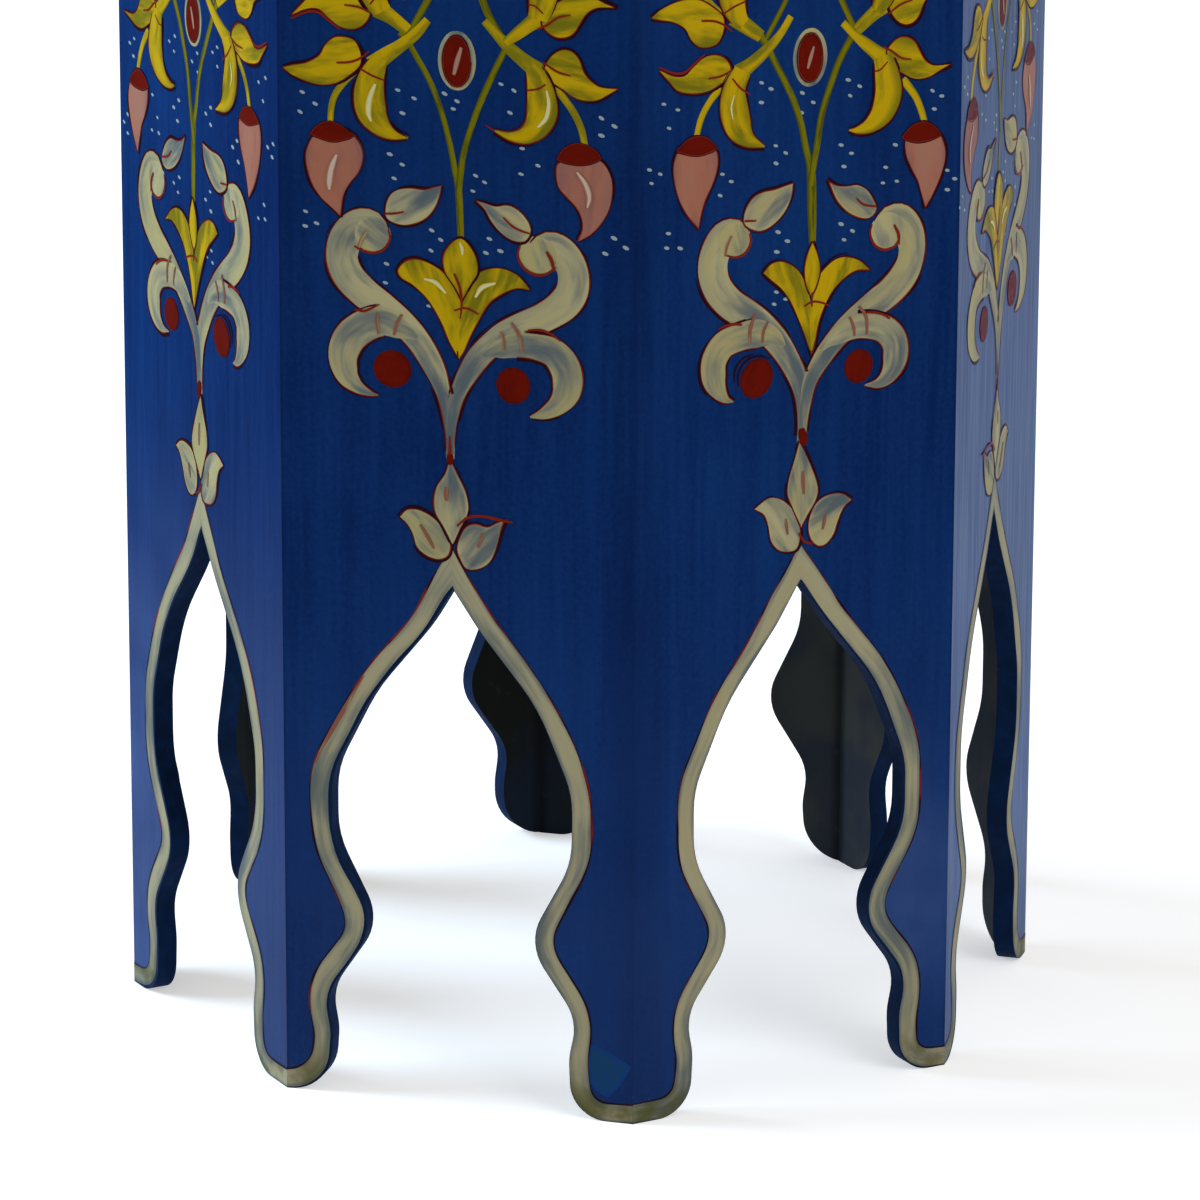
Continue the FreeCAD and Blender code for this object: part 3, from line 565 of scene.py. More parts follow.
def smooth(points, step, closed=False):
    """Even points on a smooth curve through the given ones."""
    knots = [Vector(p) for p in points]
    count = len(knots)

    def knot(i):
        return knots[i % count] if closed else knots[min(max(i, 0), count - 1)]

    def slope(i):
        before = knot(i) - knot(i - 1)
        after = knot(i + 1) - knot(i)
        room = before.length + after.length
        return (before + after) / room if room else Vector((0.0, 0.0, 0.0))

    path = []
    for i in range(count if closed else count - 1):
        start = knot(i)
        end = knot(i + 1)
        gap = (end - start).length
        pieces = steps_between(start, end, step)
        for j in range(pieces):
            t = j / pieces
            path.append(start * (2 * t ** 3 - 3 * t ** 2 + 1) + slope(i) * gap * (t ** 3 - 2 * t ** 2 + t)
                        + end * (3 * t ** 2 - 2 * t ** 3) + slope(i + 1) * gap * (t ** 3 - t ** 2))
    if not closed:
        path.append(knots[-1])
    return path


def smooth_outline(points, step):
    """The closed curve of a shape, smooth but for its tips."""
    corners = [i for i, p in enumerate(points) if len(p) > 2]
    flat = [Vector((p[0], p[1], 0.0)) for p in points]
    if not corners:
        return smooth(flat, step, closed=True)
    path = []
    for start, end in zip(corners, corners[1:] + [corners[0] + len(flat)]):
        run = [flat[i % len(flat)] for i in range(start, end + 1)]
        path.extend(smooth(run, step)[:-1])
    return path


def even_path(points, step):
    """The same path with points at most a step apart."""
    path = []
    for a, b in zip(points, points[1:]):
        pieces = steps_between(a, b, step)
        path.extend(a.lerp(b, i / pieces) for i in range(pieces))
    path.append(points[-1])
    return path


def beside(path, i, off):
    """The place so far left of a path's point i."""
    ahead = path[min(i + 1, len(path) - 1)] - path[max(i - 1, 0)]
    length = math.hypot(ahead.x, ahead.y) or 1.0
    return path[i].x - ahead.y / length * off, path[i].y + ahead.x / length * off


def wobble(distance, seed, wave=14.0):
    """A slow hand's unsteadiness, from -1 to 1."""
    return noise.noise(Vector((distance / wave, seed * 7.31, 0.5))) * 1.6


def distances(path):
    run = [0.0]
    for a, b in zip(path, path[1:]):
        run.append(run[-1] + math.hypot(b.x - a.x, b.y - a.y))
    return run


def inside(point, path):
    """Whether a point lies in a closed path."""
    odd = False
    for a, b in zip(path, path[1:] + path[:1]):
        if (a.y > point.y) != (b.y > point.y):
            if point.x < (b.x - a.x) * (point.y - a.y) / (b.y - a.y) + a.x:
                odd = not odd
    return odd


def signed_area(path):
    return sum(a.x * b.y - b.x * a.y for a, b in zip(path, path[1:] + path[:1])) / 2


# Paint as thin raised work


def even(amount):
    """Paint that is as thick all over a mark."""
    return lambda share, wide: amount


class Paintwork:
    """Gathers strokes, shapes and lines of several paints, and makes one piece of them."""

    def __init__(self):
        self.corners = []
        self.faces = []
        self.brush = []
        self.paint = []
        self.slots = []

    def point(self, ground, u, z, lift, along, across, side, load, tone, rim=0.0):
        """Adds a point. side goes from 0 to 1 across the mark, and rim from 0 inside it to 1 at its edges."""
        self.corners.append(ground.at(u, z, lift))
        self.brush.append((along / 1000.0, across / 1000.0))
        self.paint.append((side, load, tone, rim))
        return len(self.corners) - 1

    def face(self, corners, slot, ground):
        points = [self.corners[i] for i in corners]
        turn = (points[1] - points[0]).cross(points[2] - points[0])
        self.faces.append(corners if turn.dot(ground.normal) >= 0 else corners[::-1])
        self.slots.append(slot)

    def cover(self, rows, slot, ground):
        """Lays faces between rows of points, but for places where two of them are the same."""
        for a, b in zip(rows, rows[1:]):
            for j in range(len(a) - 1):
                if a[j] != a[j + 1] and b[j] != b[j + 1]:
                    self.face([a[j], b[j], b[j + 1], a[j + 1]], slot, ground)

    def ribbon(self, ground, path, lift, slot, tone, load):
        """A band along a path of places and widths. load(share, width) says how thick the paint is."""
        run = distances(path)
        rows = []
        for i, p in enumerate(path):
            half = max(p.z, 0.05) / 2
            thick = load(run[i] / (run[-1] or 1.0), p.z)
            row = [self.point(ground, *beside(path, i, half * share), lift, run[i], half * share,
                              share / 2 + 0.5, thick, tone, share * share)
                   for share in (-1.0, -0.6, 0.0, 0.6, 1.0)]
            feet = [self.point(ground, *beside(path, i, (half + SKIRT) * share), SUNK, run[i], half * share,
                               share / 2 + 0.5, thick, tone, 1.0)
                    for share in (-1.0, 1.0)]
            rows.append(feet[:1] + row + feet[1:])
        self.cover(rows, slot, ground)

    def patch(self, ground, path, lift, slot, tone, load):
        """A filled shape inside a closed path."""
        core_share = 0.74
        if signed_area(path) < 0:
            path = path[::-1]
        middle = sum(path, Vector((0.0, 0.0, 0.0))) / len(path)
        axis = (max(path, key=lambda p: (p - middle).length) - middle).normalized()
        cross = Vector((-axis.y, axis.x, 0.0))
        reach_along = max(abs((p - middle).dot(axis)) for p in path)
        reach_across = max(abs((p - middle).dot(cross)) for p in path) or 1.0

        def spot(p, height, rim):
            along = (p - middle).dot(axis)
            across = (p - middle).dot(cross)
            thick = load(along / reach_along / 2 + 0.5, 2 * reach_across)
            return self.point(ground, p.x, p.y, height, along, across, across / reach_across / 2 + 0.5, thick,
                              tone, rim)

        top = [spot(p, lift, 1.0) for p in path]
        foot = []
        for i, p in enumerate(path):
            ahead = (path[(i + 1) % len(path)] - path[i - 1]).normalized()
            foot.append(spot(p + Vector((ahead.y, -ahead.x, 0.0)) * SKIRT, SUNK, 1.0))
        core = [middle + (p - middle) * core_share for p in path]
        rings = [(top, foot)]
        if all(inside(p, path) for p in core):
            hub = [spot(p, lift, 0.0) for p in core]
            rings.append((hub, top))
            path = core
            top = hub
        for corners in tessellate_polygon([[Vector((p.x, p.y, 0.0)) for p in path]]):
            self.face([top[i] for i in corners], slot, ground)
        for near, far in rings:
            for i in range(len(near)):
                j = (i + 1) % len(near)
                self.face([near[i], far[i], far[j], near[j]], slot, ground)

    def line(self, ground, path, lift, slot, tone, inner=0.5, flat=False, load=lambda p: 1.0):
        """A thin line along a path of places and widths. inner is 1 if pale paint is on its left and 0 on its
        right. A flat line is the same all across. load says how thick the paint is at a point."""
        run = distances(path)
        rows = []
        for i, p in enumerate(path):
            row = []
            for share in (-1.0, 0.0, 1.0):
                pale = inner if flat else 0.5 + (inner - 0.5) * share
                off = p.z / 2 * share
                row.append(self.point(ground, *beside(path, i, off), lift, run[i], off, pale, load(p), tone,
                                      abs(share)))
            rows.append(row)
        self.cover(rows, slot, ground)

    def piece(self, name, paints, slot):
        """Makes the object, which rides on the table."""
        mesh = bpy.data.meshes.new(name)
        mesh.from_pydata(self.corners, [], self.faces)
        for paint_name in paints:
            mesh.materials.append(material(paint_name))
        mesh.polygons.foreach_set("material_index", self.slots)
        brush = mesh.uv_layers.new(name="brush")
        for loop in mesh.loops:
            brush.data[loop.index].uv = self.brush[loop.vertex_index]
        paint = mesh.color_attributes.new("paint", "FLOAT_COLOR", "POINT")
        for i, value in enumerate(self.paint):
            paint.data[i].color = value
        mesh.update()
        piece = bpy.data.objects.new(name, mesh)
        bpy.context.scene.collection.objects.link(piece)
        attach(piece, "root")


# The design on its grounds


class Layout:
    """How a design lies on a ground: turned left to right, upside down, and shifted."""

    def __init__(self, ground, turned=False, upside_down=False, shift=0.0, level=0.0, seed=0, fullness_and_light=1.0):
        self.ground = ground
        self.turned = turned
        self.upside_down = upside_down
        self.shift = shift
        self.level = level
        self.seed = seed
        self.fullness_and_light = fullness_and_light

    def place(self, point):
        u = -point[0] if self.turned else point[0]
        z = 2 * self.level - point[1] if self.upside_down else point[1]
        return (u + self.shift, z) + tuple(point[2:])

    def points(self, mark):
        """A mark's points. A stroke that hangs upside down stops at the level of its mirror image."""
        stops = self.upside_down and mark["kind"] == "stroke"
        return [self.place(p) for p in mark["points"] if not stops or p[1] < self.level + 2.0]

    def sides(self, lines):
        """Shares of the left and right side to outline, after turning."""
        return lines[2:] + lines[:2] if self.turned != self.upside_down else lines

    def marks(self, design, kind):
        """Numbers and marks of one kind in a design. One that hangs upside down has no medallion."""
        for number, mark in enumerate(design[kind]):
            if not self.upside_down or MEDALLION.get(kind) != number:
                yield number, mark

    def tone(self, number):
        return (self.seed * 0.37 + number * 0.29) % 1.0


def panel_layouts(side):
    """The lower design of a side and the upper one, which hangs upside down from the top."""
    kind, mirrored = SIDE_DESIGNS[side]
    design = DESIGNS[kind]
    other = DESIGNS["second" if kind == "first" else "first"]
    sign = -1.0 if mirrored else 1.0
    shift = max(arch_path(side), key=lambda p: p.y).x - sign * design["foot"]
    level = sizes().mirror_level * 1000.0
    seed = SIDES.index(side)
    fullness_and_light = SIDE_FULLNESS_AND_LIGHT.get(side, 1.0)
    on_side = partial(Layout, panel_ground(side), mirrored, level=level, fullness_and_light=fullness_and_light)
    upper_shift = shift + sign * (design["medallion"] - other["medallion"])
    return ((on_side(shift=shift, seed=seed), design),
            (on_side(upside_down=True, shift=upper_shift, seed=seed + 20), other))


def sampled(layout, mark, step=1.3):
    """A mark's smooth path on its layout."""
    curve = smooth if mark["kind"] == "stroke" else smooth_outline
    return curve(layout.points(mark), step)


# Where each kind of mark comes in the order of painting
ORDER = {"scrolls": 0, "stems": 13, "flowers": 17, "buds": 26, "reds": 28, "all": 34}


def lift_of(level, layout=None, order=0):
    """Height of a mark's paint. No two marks that cross share a plane."""
    if layout is not None and layout.upside_down:
        order += ORDER["all"]
    return sizes().film + sizes().coat * level + sizes().hair * order


def lay(work, layout, mark, slot, kind, number, load):
    """Paints a stroke or a shape."""
    paint = work.ribbon if mark["kind"] == "stroke" else work.patch
    # Scrolls take their side's fullness of cream, in part a painted light
    fullness_and_light = layout.fullness_and_light if kind == "scrolls" else 1.0
    paint(layout.ground, sampled(layout, mark), lift_of(mark["level"], layout, ORDER[kind] + number), slot,
          layout.tone(number), lambda share, wide: load(share, wide) * fullness_and_light)


def draw(work, layout, points, level, slot, number, pale):
    """Draws a thin stroke through points of place and width."""
    path = smooth([layout.place(p) for p in points], 1.2)
    work.line(layout.ground, path, lift_of(level, layout, number), slot, layout.tone(number), pale, flat=True)


def dab(work, layout, spot, slot, number, wide, high, lean):
    """Dabs a small oval dot."""
    dot = oval(0, *layout.place(spot), wide, high, lean)
    path = smooth_outline(dot["points"], 0.6)
    work.patch(layout.ground, path, lift_of(0), slot, layout.tone(number), even(0.8))


# How a hand draws outlines, in millimetres: how far they stray, how much they swell, how long their thin ends
# are, and how far beside them the dark strokes lie
LINE_STRAY = 0.42
LINE_SWELL = 0.38
LINE_END = 4.0
DARK_OFFSET = 1.5
DARK_STRAY = 0.3
DARK_THINNEST = 0.15
DARK_WIDEST = 1.5


def dark_side(work, layout, path, run, lift, slot, seed, inner, width):
    """Broken dark strokes beside an outline, on the blue."""
    strokes = [[]]
    for i in range(len(path)):
        off = (0.5 - inner) * DARK_OFFSET + wobble(run[i], seed + 9.1, 16.0) * DARK_STRAY
        wide = width * (0.55 + 1.5 * wobble(run[i], seed + 5.3, 15.0))
        if wide > DARK_THINNEST:
            strokes[-1].append(Vector((*beside(path, i, off), min(wide, DARK_WIDEST))))
        elif strokes[-1]:
            strokes.append([])
    for stroke_path in strokes:
        if len(stroke_path) > 2:
            work.line(layout.ground, stroke_path, lift, slot, seed % 1.0, 0.0, flat=True)


def hand_line(work, layout, path, level, slot, seed, inner, closed=False, shadow=True):
    """An outline drawn by hand along a path: a little off it, and of uneven width."""
    width = sizes().line_width * 1000.0
    run = distances(path)
    if shadow:
        dark_side(work, layout, path, run, lift_of(level + 0.5, layout, seed % 9), slot, seed, inner, width)
    drawn = []
    for i in range(len(path)):
        off = wobble(run[i], seed, 22.0) * LINE_STRAY + (0.5 - inner) * 0.5
        end = 1.0 if closed else min(1.0, 0.35 + min(run[i], run[-1] - run[i]) / LINE_END)
        wide = width * end * (1.0 + LINE_SWELL * wobble(run[i], seed + 3.7, 9.0))
        drawn.append(Vector((*beside(path, i, off), wide)))
    work.line(layout.ground, drawn, lift_of(level + 0.8, layout, seed % 9), slot, (seed * 0.37) % 1.0, inner)


def outline_mark(work, layout, mark, slot, seed, shadow=True):
    """Outlines a stroke along the shares of its sides, or a shape along a share of it."""
    if not mark["lines"]:
        return
    path = sampled(layout, mark, 1.6)
    if mark["kind"] == "shape":
        inner = 1.0 if signed_area(path) > 0 else 0.0
        path = (path + path[:1])[:int(mark["lines"] * (len(path) + 1))]
        hand_line(work, layout, path, mark["level"], slot, seed, inner, mark["lines"] == 1.0, shadow)
        return
    sides = layout.sides(mark["lines"])
    last = len(path) - 1
    for sign, low, high in ((1.0, sides[0], sides[1]), (-1.0, sides[2], sides[3])):
        edge = [Vector((*beside(path, i, path[i].z / 2 * sign), 0.0))
                for i in range(int(low * last), int(high * last) + 1)]
        if len(edge) > 2:
            hand_line(work, layout, edge, mark["level"], slot, seed + sign, 0.0 if sign > 0 else 1.0)


# The sawn arch, read from the panel


def arch_path(side):
    """The edge of a panel's outer face from foot to foot, in design millimetres, the wood on its left."""
    outward, rightward = facing(side)
    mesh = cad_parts[f"side_panel_{side}"].data
    face, half, scale = panel_reach(side)
    fine = 1e5
    edges = {}
    for polygon in mesh.polygons:
        if polygon.normal.dot(outward) < 0.99 or polygon.center.dot(outward) < face - 1 / fine:
            continue
        ring = [mesh.vertices[i].co for i in polygon.vertices]
        keys = [(round(p.dot(rightward) * fine), round(p.z * fine)) for p in ring]
        for a, b in zip(keys, keys[1:] + keys[:1]):
            edge = (min(a, b), max(a, b))
            edges[edge] = edges.get(edge, 0) + 1
    near = {}
    limit = half * fine - 30
    top = reach(f"side_panel_{side}", UP) * fine - 30
    for (a, b), uses in edges.items():
        on_fold = abs(a[0]) > limit and abs(b[0]) > limit
        on_top = a[1] > top and b[1] > top
        if uses == 1 and not on_fold and not on_top:
            near.setdefault(a, []).append(b)
            near.setdefault(b, []).append(a)
    walk = [min(near, key=lambda p: p[0])]
    onward = near[walk[0]]
    while onward:
        walk.append(onward[0])
        onward = [p for p in near[walk[-1]] if p != walk[-2]]
    return [Vector((x / fine / scale, z / fine / scale, 0.0)) for x, z in walk]


def inner_edge(path, widths):
    """The border's inner edge: a path's points moved left, without loops where it bends in."""
    moved = []
    for i, p in enumerate(path):
        before = path[max(i - 1, 0)]
        after = path[min(i + 1, len(path) - 1)]
        one = (p - before).normalized() if i else (after - p).normalized()
        two = (after - p).normalized() if i < len(path) - 1 else one
        left = Vector((-one.y - two.y, one.x + two.x, 0.0)).normalized()
        spread = max(left.dot(Vector((-one.y, one.x, 0.0))), 0.35)
        moved.append(p + left * widths[i] / spread)
    good = [min((q - p).length for p in path) > width * 0.97 - 0.05 for q, width in zip(moved, widths)]
    good[0] = good[-1] = True
    kept = [i for i in range(len(moved)) if good[i]]
    for i, j in zip(kept, kept[1:]):
        for k in range(i + 1, j):
            moved[k] = moved[i].lerp(moved[j], (k - i) / (j - i))
    return moved


def blunt(path, passes):
    """A path with its corners eased, but for its ends and its highest point."""
    peak = path.index(max(path, key=lambda p: p.y))
    for _ in range(passes):
        eased = [(a + b * 2 + c) / 4 for a, b, c in zip(path, path[1:], path[2:])]
        eased = [path[0]] + eased + [path[-1]]
        eased[peak] = path[peak]
        path = eased
    return path


# Shader nodes


class Wire:
    """What a shader node puts out. Arithmetic on wires adds the nodes that do it."""

    def __init__(self, socket):
        self.socket = socket
        self.tree = socket.id_data

    def maths(self, operation, other, other_first=False):
        ends = {0: other, 1: self} if other_first else {0: self, 1: other}
        return wire(self.tree, "Math", ends, operation=operation)

    def __add__(self, other):
        return self.maths("ADD", other)

    def __radd__(self, other):
        return self.maths("ADD", other, True)

    def __sub__(self, other):
        return self.maths("SUBTRACT", other)

    def __rsub__(self, other):
        return self.maths("SUBTRACT", other, True)

    def __mul__(self, other):
        return self.maths("MULTIPLY", other)

    def larger(self, other):
        return self.maths("MAXIMUM", other)

    def clamped(self):
        self.socket.node.use_clamp = True
        return self

    def ramp(self, low, high, to_low=0.0, to_high=1.0):
        """A smooth change from one value to another between two limits."""
        ends = {"Value": self, "From Min": low, "From Max": high, "To Min": to_low, "To Max": to_high}
        return wire(self.tree, "MapRange", ends, "Result", interpolation_type="SMOOTHSTEP")

    def mix(self, one, two):
        """Two colours mixed by this share."""
        return wire(self.tree, "Mix", {"Factor": self, 6: one, 7: two}, 2, data_type="RGBA")


def put(socket, value):
    """Gives a socket a wire, a number, a colour or the name of one of the table's colours."""
    if isinstance(value, Wire):
        socket.id_data.links.new(value.socket, socket)
        return
    if isinstance(value, str):
        value = getattr(colours(), value)
    socket.default_value = (*value, 1.0) if socket.type == "RGBA" else value


def node(tree, kind, inputs=None, **settings):
    """Adds a shader node with its settings and inputs."""
    made = tree.nodes.new(f"ShaderNode{kind}")
    for name, value in settings.items():
        setattr(made, name, value)
    for name, value in (inputs or {}).items():
        put(made.inputs[name], value)
    return made


def wire(tree, kind, inputs=None, output=0, **settings):
    """Adds a shader node and takes one of its outputs."""
    return Wire(node(tree, kind, inputs, **settings).outputs[output])


def wires(tree, kind, inputs=None, **settings):
    return [Wire(socket) for socket in node(tree, kind, inputs, **settings).outputs]


def vector_maths(operation, one, other=None, output=0):
    inputs = {0: one} if other is None else {0: one, 1: other}
    return wire(one.tree, "VectorMath", inputs, output, operation=operation)


def clouds(where, scale, detail, roughness=0.5):
    """Soft noise of a scale."""
    return wire(where.tree, "TexNoise", {"Vector": where, "Scale": scale, "Detail": detail,
                                         "Roughness": roughness})


def stretched(where, scale):
    return wire(where.tree, "Mapping", {"Vector": where, "Scale": scale})


def on_object(tree):
    """Object coordinates."""
    return wire(tree, "TexCoord", output="Object")


def across_deep_height(where):
    return wires(where.tree, "SeparateXYZ", {"Vector": where})


def group_wires(name, labels, outputs, fill, values):
    """Places a node group, which is made the first time, and returns its outputs. fill makes these from the
    group's inputs, which are coordinates and then numbers."""
    if name not in bpy.data.node_groups:
        tree = bpy.data.node_groups.new(name, "ShaderNodeTree")
        for label, usual in labels.items():
            kind = "NodeSocketVector" if usual is None else "NodeSocketFloat"
            socket = tree.interface.new_socket(label, in_out="INPUT", socket_type=kind)
            if usual is not None:
                socket.default_value = usual
        for label in outputs:
            tree.interface.new_socket(label, in_out="OUTPUT", socket_type="NodeSocketFloat")
        given = tree.nodes.new("NodeGroupInput")
        out = tree.nodes.new("NodeGroupOutput")
        for label, value in zip(outputs, fill(*[Wire(given.outputs[label]) for label in labels])):
            put(out.inputs[label], value)
    made = node(values[0].tree, "Group", dict(zip(labels, values)), node_tree=bpy.data.node_groups[name])
    return [Wire(made.outputs[label]) for label in outputs]


def brush_marks(where, seed, broad, fine):
    """Brush marks: broad and fine streaks along the first axis of the coordinates."""

    def fill(coordinates, number, broad_scale, fine_scale):
        shift = wire(number.tree, "CombineXYZ", {2: number})
        moved = vector_maths("ADD", coordinates, shift)
        return [clouds(moved, scale, detail, 0.55).ramp(0.28, 0.72)
                for scale, detail in ((broad_scale, 3.0), (fine_scale, 2.0))]

    labels = {"Coordinates": None, "Seed": 0.0, "Broad Scale": 1.0, "Fine Scale": 4.0}
    return group_wires("brush_marks", labels, ("Broad", "Fine"), fill, (where, seed, broad, fine))


def chipped(where, amount, size):
    """Chips and rubbed spots, as a mask."""

    def fill(coordinates, share, scale):
        return [((clouds(coordinates, scale, 5.0, 0.65) - (0.86 - share * 0.42)) * 30.0).clamped()]

    labels = {"Coordinates": None, "Amount": 0.5, "Size": 300.0}
    return group_wires("chipped_paint", labels, ("Mask",), fill, (where, amount, size))[0]


def finish_surface(colour, rough, height, bump, shine=0.05, metallic=0.0):
    """Joins colour, roughness and relief to the shader."""
    relief = wire(colour.tree, "Bump", {"Height": height, "Strength": 0.6, "Distance": bump}, "Normal")
    values = {"Base Color": colour, "Roughness": rough, "Specular IOR Level": shine, "Metallic": metallic,
              "Normal": relief}
    for name, value in values.items():
        put(colour.tree.nodes["Principled BSDF"].inputs[name], value)


# Paints and finishes


def brushed_paint(full, thin, shade, shading, cover, tree, other=None, contrast=0.8, stretch=(38.0, 330.0),
                  rims=0.0, rough=0.42, shine=0.03, grime=0.0):
    """A hand-brushed paint: thin where the ground shows, shaded along one side of each stroke. rims says
    how much fuller the paint is along a mark's edges than inside it, and grime how soiled it is at the
    floor."""
    paint, rim = wires(tree, "VertexColor", layer_name="paint")
    side, load, tone = wires(tree, "SeparateColor", {"Color": paint})
    brush = wire(tree, "UVMap", uv_map="brush")
    broad, fine = brush_marks(stretched(brush, (*stretch, 1.0)), tone * 40.0, 1.0, 3.4)
    colour = (side + (broad - 0.5) * 0.35).ramp(*shading).mix(full, shade)
    if other:
        colour = ((tone * 0.5 + broad * 0.5).ramp(0.35, 0.85) * 0.75).mix(colour, other)
    covering = load + (broad - 0.55) * contrast + (fine - 0.5) * (contrast * 0.3)
    if rims:
        covering = covering + rim.ramp(0.15, 0.95, 0.0, rims)
    colour = covering.ramp(*cover).mix(thin, colour)
    if grime:
        where = on_object(tree)
        height = across_deep_height(where)[2]
        soiled = height.ramp(0.03, 0.002) * clouds(where, 70.0, 4.0).ramp(0.36, 0.62, 0.0, grime)
        colour = soiled.mix(colour, (0.075, 0.068, 0.012))
    finish_surface(colour, rough + fine * 0.14, fine + broad, 0.00006, shine)


def outward_share(where):
    """How far outward from the table's middle line a face looks."""
    radial = vector_maths("NORMALIZE", level_part(where))
    normal = wire(where.tree, "NewGeometry", output="True Normal")
    return vector_maths("DOT_PRODUCT", radial, normal, "Value")


def level_part(where):
    return vector_maths("MULTIPLY", where, (1.0, 1.0, 0.0))


def blue_ground(where, stretch):
    """Deep blue with brush marks, and the broad and fine marks themselves."""
    broad, fine = brush_marks(stretched(where, stretch), 3.0, 75.0, 340.0)
    cloud = clouds(where, 9.0, 2.0)
    mottle = clouds(where, 520.0, 3.0)
    share = broad * 0.22 + fine * 0.16 + (mottle - 0.4) * 0.7 + (cloud - 0.45) * 1.1
    return share.clamped().mix("ground", "ground_light"), broad, fine


def panel_paint(tree):
    """Blue outside, paler low down and to the left and right in a painted sheen, dark blue on the sawn edges,
    and dark stain inside, painted paler on the inner faces to the right as a painted light.
    """
    where = on_object(tree)
    outward = outward_share(where)
    across, deep, height = across_deep_height(where)
    from_middle = vector_maths("LENGTH", level_part(where), output="Value")
    cloud = clouds(where, 22.0, 4.0)
    blue, broad, fine = blue_ground(where, (1.0, 1.0, 0.045))
    # Paler, greyer blue in patches towards the floor, in part a painted sheen of the floor's light
    paler_low_sheen = height.ramp(0.26, 0.0) * cloud.ramp(0.25, 0.75, 0.35, 1.0)
    blue = (paler_low_sheen * 0.22).mix(blue, (0.03, 0.055, 0.14))
    fold = across.ramp(0.04, 0.06) * deep.ramp(-0.165, -0.175) * from_middle.ramp(0.1935, 0.2, 0.0, 0.26)
    fold = fold.larger(from_middle.ramp(0.1996, 0.2002, 0.0, 0.35))
    blue = fold.mix(blue, (0.001, 0.006, 0.03))
    # Painted sheen: paler blue low down on the panels to the right and to the left
    right_painted_sheen = across.ramp(0.105, 0.15) * height.ramp(0.02, 0.055) * height.ramp(0.17, 0.08)
    left_painted_sheen = across.ramp(-0.11, -0.15) * height.ramp(0.3, 0.1)
    painted_sheen = right_painted_sheen.larger(left_painted_sheen) * cloud.ramp(0.3, 0.7, 0.15, 0.5)
    blue = painted_sheen.mix(blue, (0.045, 0.085, 0.22))
    chips = chipped(where, height.ramp(0.03, 0.0, 0.1, 0.75), 420.0)
    blue = chips.mix(blue, (0.05, 0.035, 0.022))
    marks = clouds(where, 160.0, 4.0)
    edge = marks.ramp(0.35, 0.8, 0.0, 0.25).mix("sawn", "ground_light")
    edge = chipped(where, 0.36, 260.0).mix(edge, (0.05, 0.06, 0.075))
    smears = (cloud + height.ramp(0.25, 0.02, 0.0, 0.12)).ramp(0.56, 0.72)
    # Inner faces to the right are painted paler: a painted light on them
    stain = across.ramp(0.0, 0.08).mix("inside", (0.054, 0.055, 0.05))
    stain = (smears * 0.45).mix(stain, (0.008, 0.018, 0.045))
    stain = from_middle.ramp(0.1885, 0.1903, 0.0, 0.7).mix(stain, (0.005, 0.005, 0.005))
    stain = marks.ramp(0.62, 0.8, 0.0, 0.35).mix(stain, (0.05, 0.055, 0.05))
    on_edge = outward.ramp(0.72, 0.6)
    colour = outward.ramp(-0.6, -0.72).mix(on_edge.mix(blue, edge), stain)
    finish_surface(colour, 0.3 + fine * 0.1 + on_edge * 0.4, fine + broad * 0.6 - chips * 1.5, 0.00004)


def moulding_paint(tree):
    """Blue with brush marks along the strip, rubbed on its rounded edge."""
    where = on_object(tree)
    outward = outward_share(where)
    blue, _, fine = blue_ground(where, (0.3, 0.3, 2.0))
    rounding = outward.ramp(0.2, 0.55) * outward.ramp(0.95, 0.75)
    rubbed = chipped(where, 0.12 + rounding * 0.5, 240.0)
    finish_surface(rubbed.mix(blue, (0.16, 0.1, 0.05)), 0.3 + fine * 0.1, fine - rubbed * 1.5, 0.00012)


def top_paint(tree):
    """Blue over the glued planks, with brush marks along them and light rubbing."""
    where = on_object(tree)
    blue, broad, fine = blue_ground(where, (0.05, 1.0, 1.0))
    rubbed = chipped(where, 0.2, 150.0)
    finish_surface((rubbed * 0.6).mix(blue, (0.05, 0.09, 0.2)), 0.4 + broad * 0.14, fine, 0.0001, 0.025)


def bare_pine(tree):
    """Sawn pine with late wood, knots and dust."""
    where = on_object(tree)
    grain = stretched(where, (1.0, 1.0, 0.08))
    rings = wire(tree, "TexWave", {"Vector": grain, "Scale": 55.0, "Distortion": 7.0, "Detail": 3.0,
                                   "Detail Scale": 1.6}, "Fac")
    pores = clouds(grain, 900.0, 2.0)
    colour = rings.ramp(0.35, 0.95, 0.0, 0.75).mix("pine", "pine_dark")
    colour = pores.ramp(0.55, 0.8, 0.0, 0.35).mix(colour, "pine_dark")
    colour = clouds(where, 30.0, 4.0).ramp(0.45, 0.75, 0.0, 0.4).mix(colour, (0.14, 0.11, 0.08))
    finish_surface(colour, pores.ramp(0.2, 0.8, 0.62, 0.8), rings + pores, 0.0002, 0.3)


def fastener_steel(tree):
    """Plain steel, a little dull."""
    spots = clouds(on_object(tree), 700.0, 4.0)
    colour = spots.ramp(0.5, 0.75, 0.0, 0.6).mix("steel", (0.16, 0.12, 0.09))
    finish_surface(colour, spots.ramp(0.3, 0.8, 0.32, 0.6), spots, 0.00005, 0.5, 1.0)


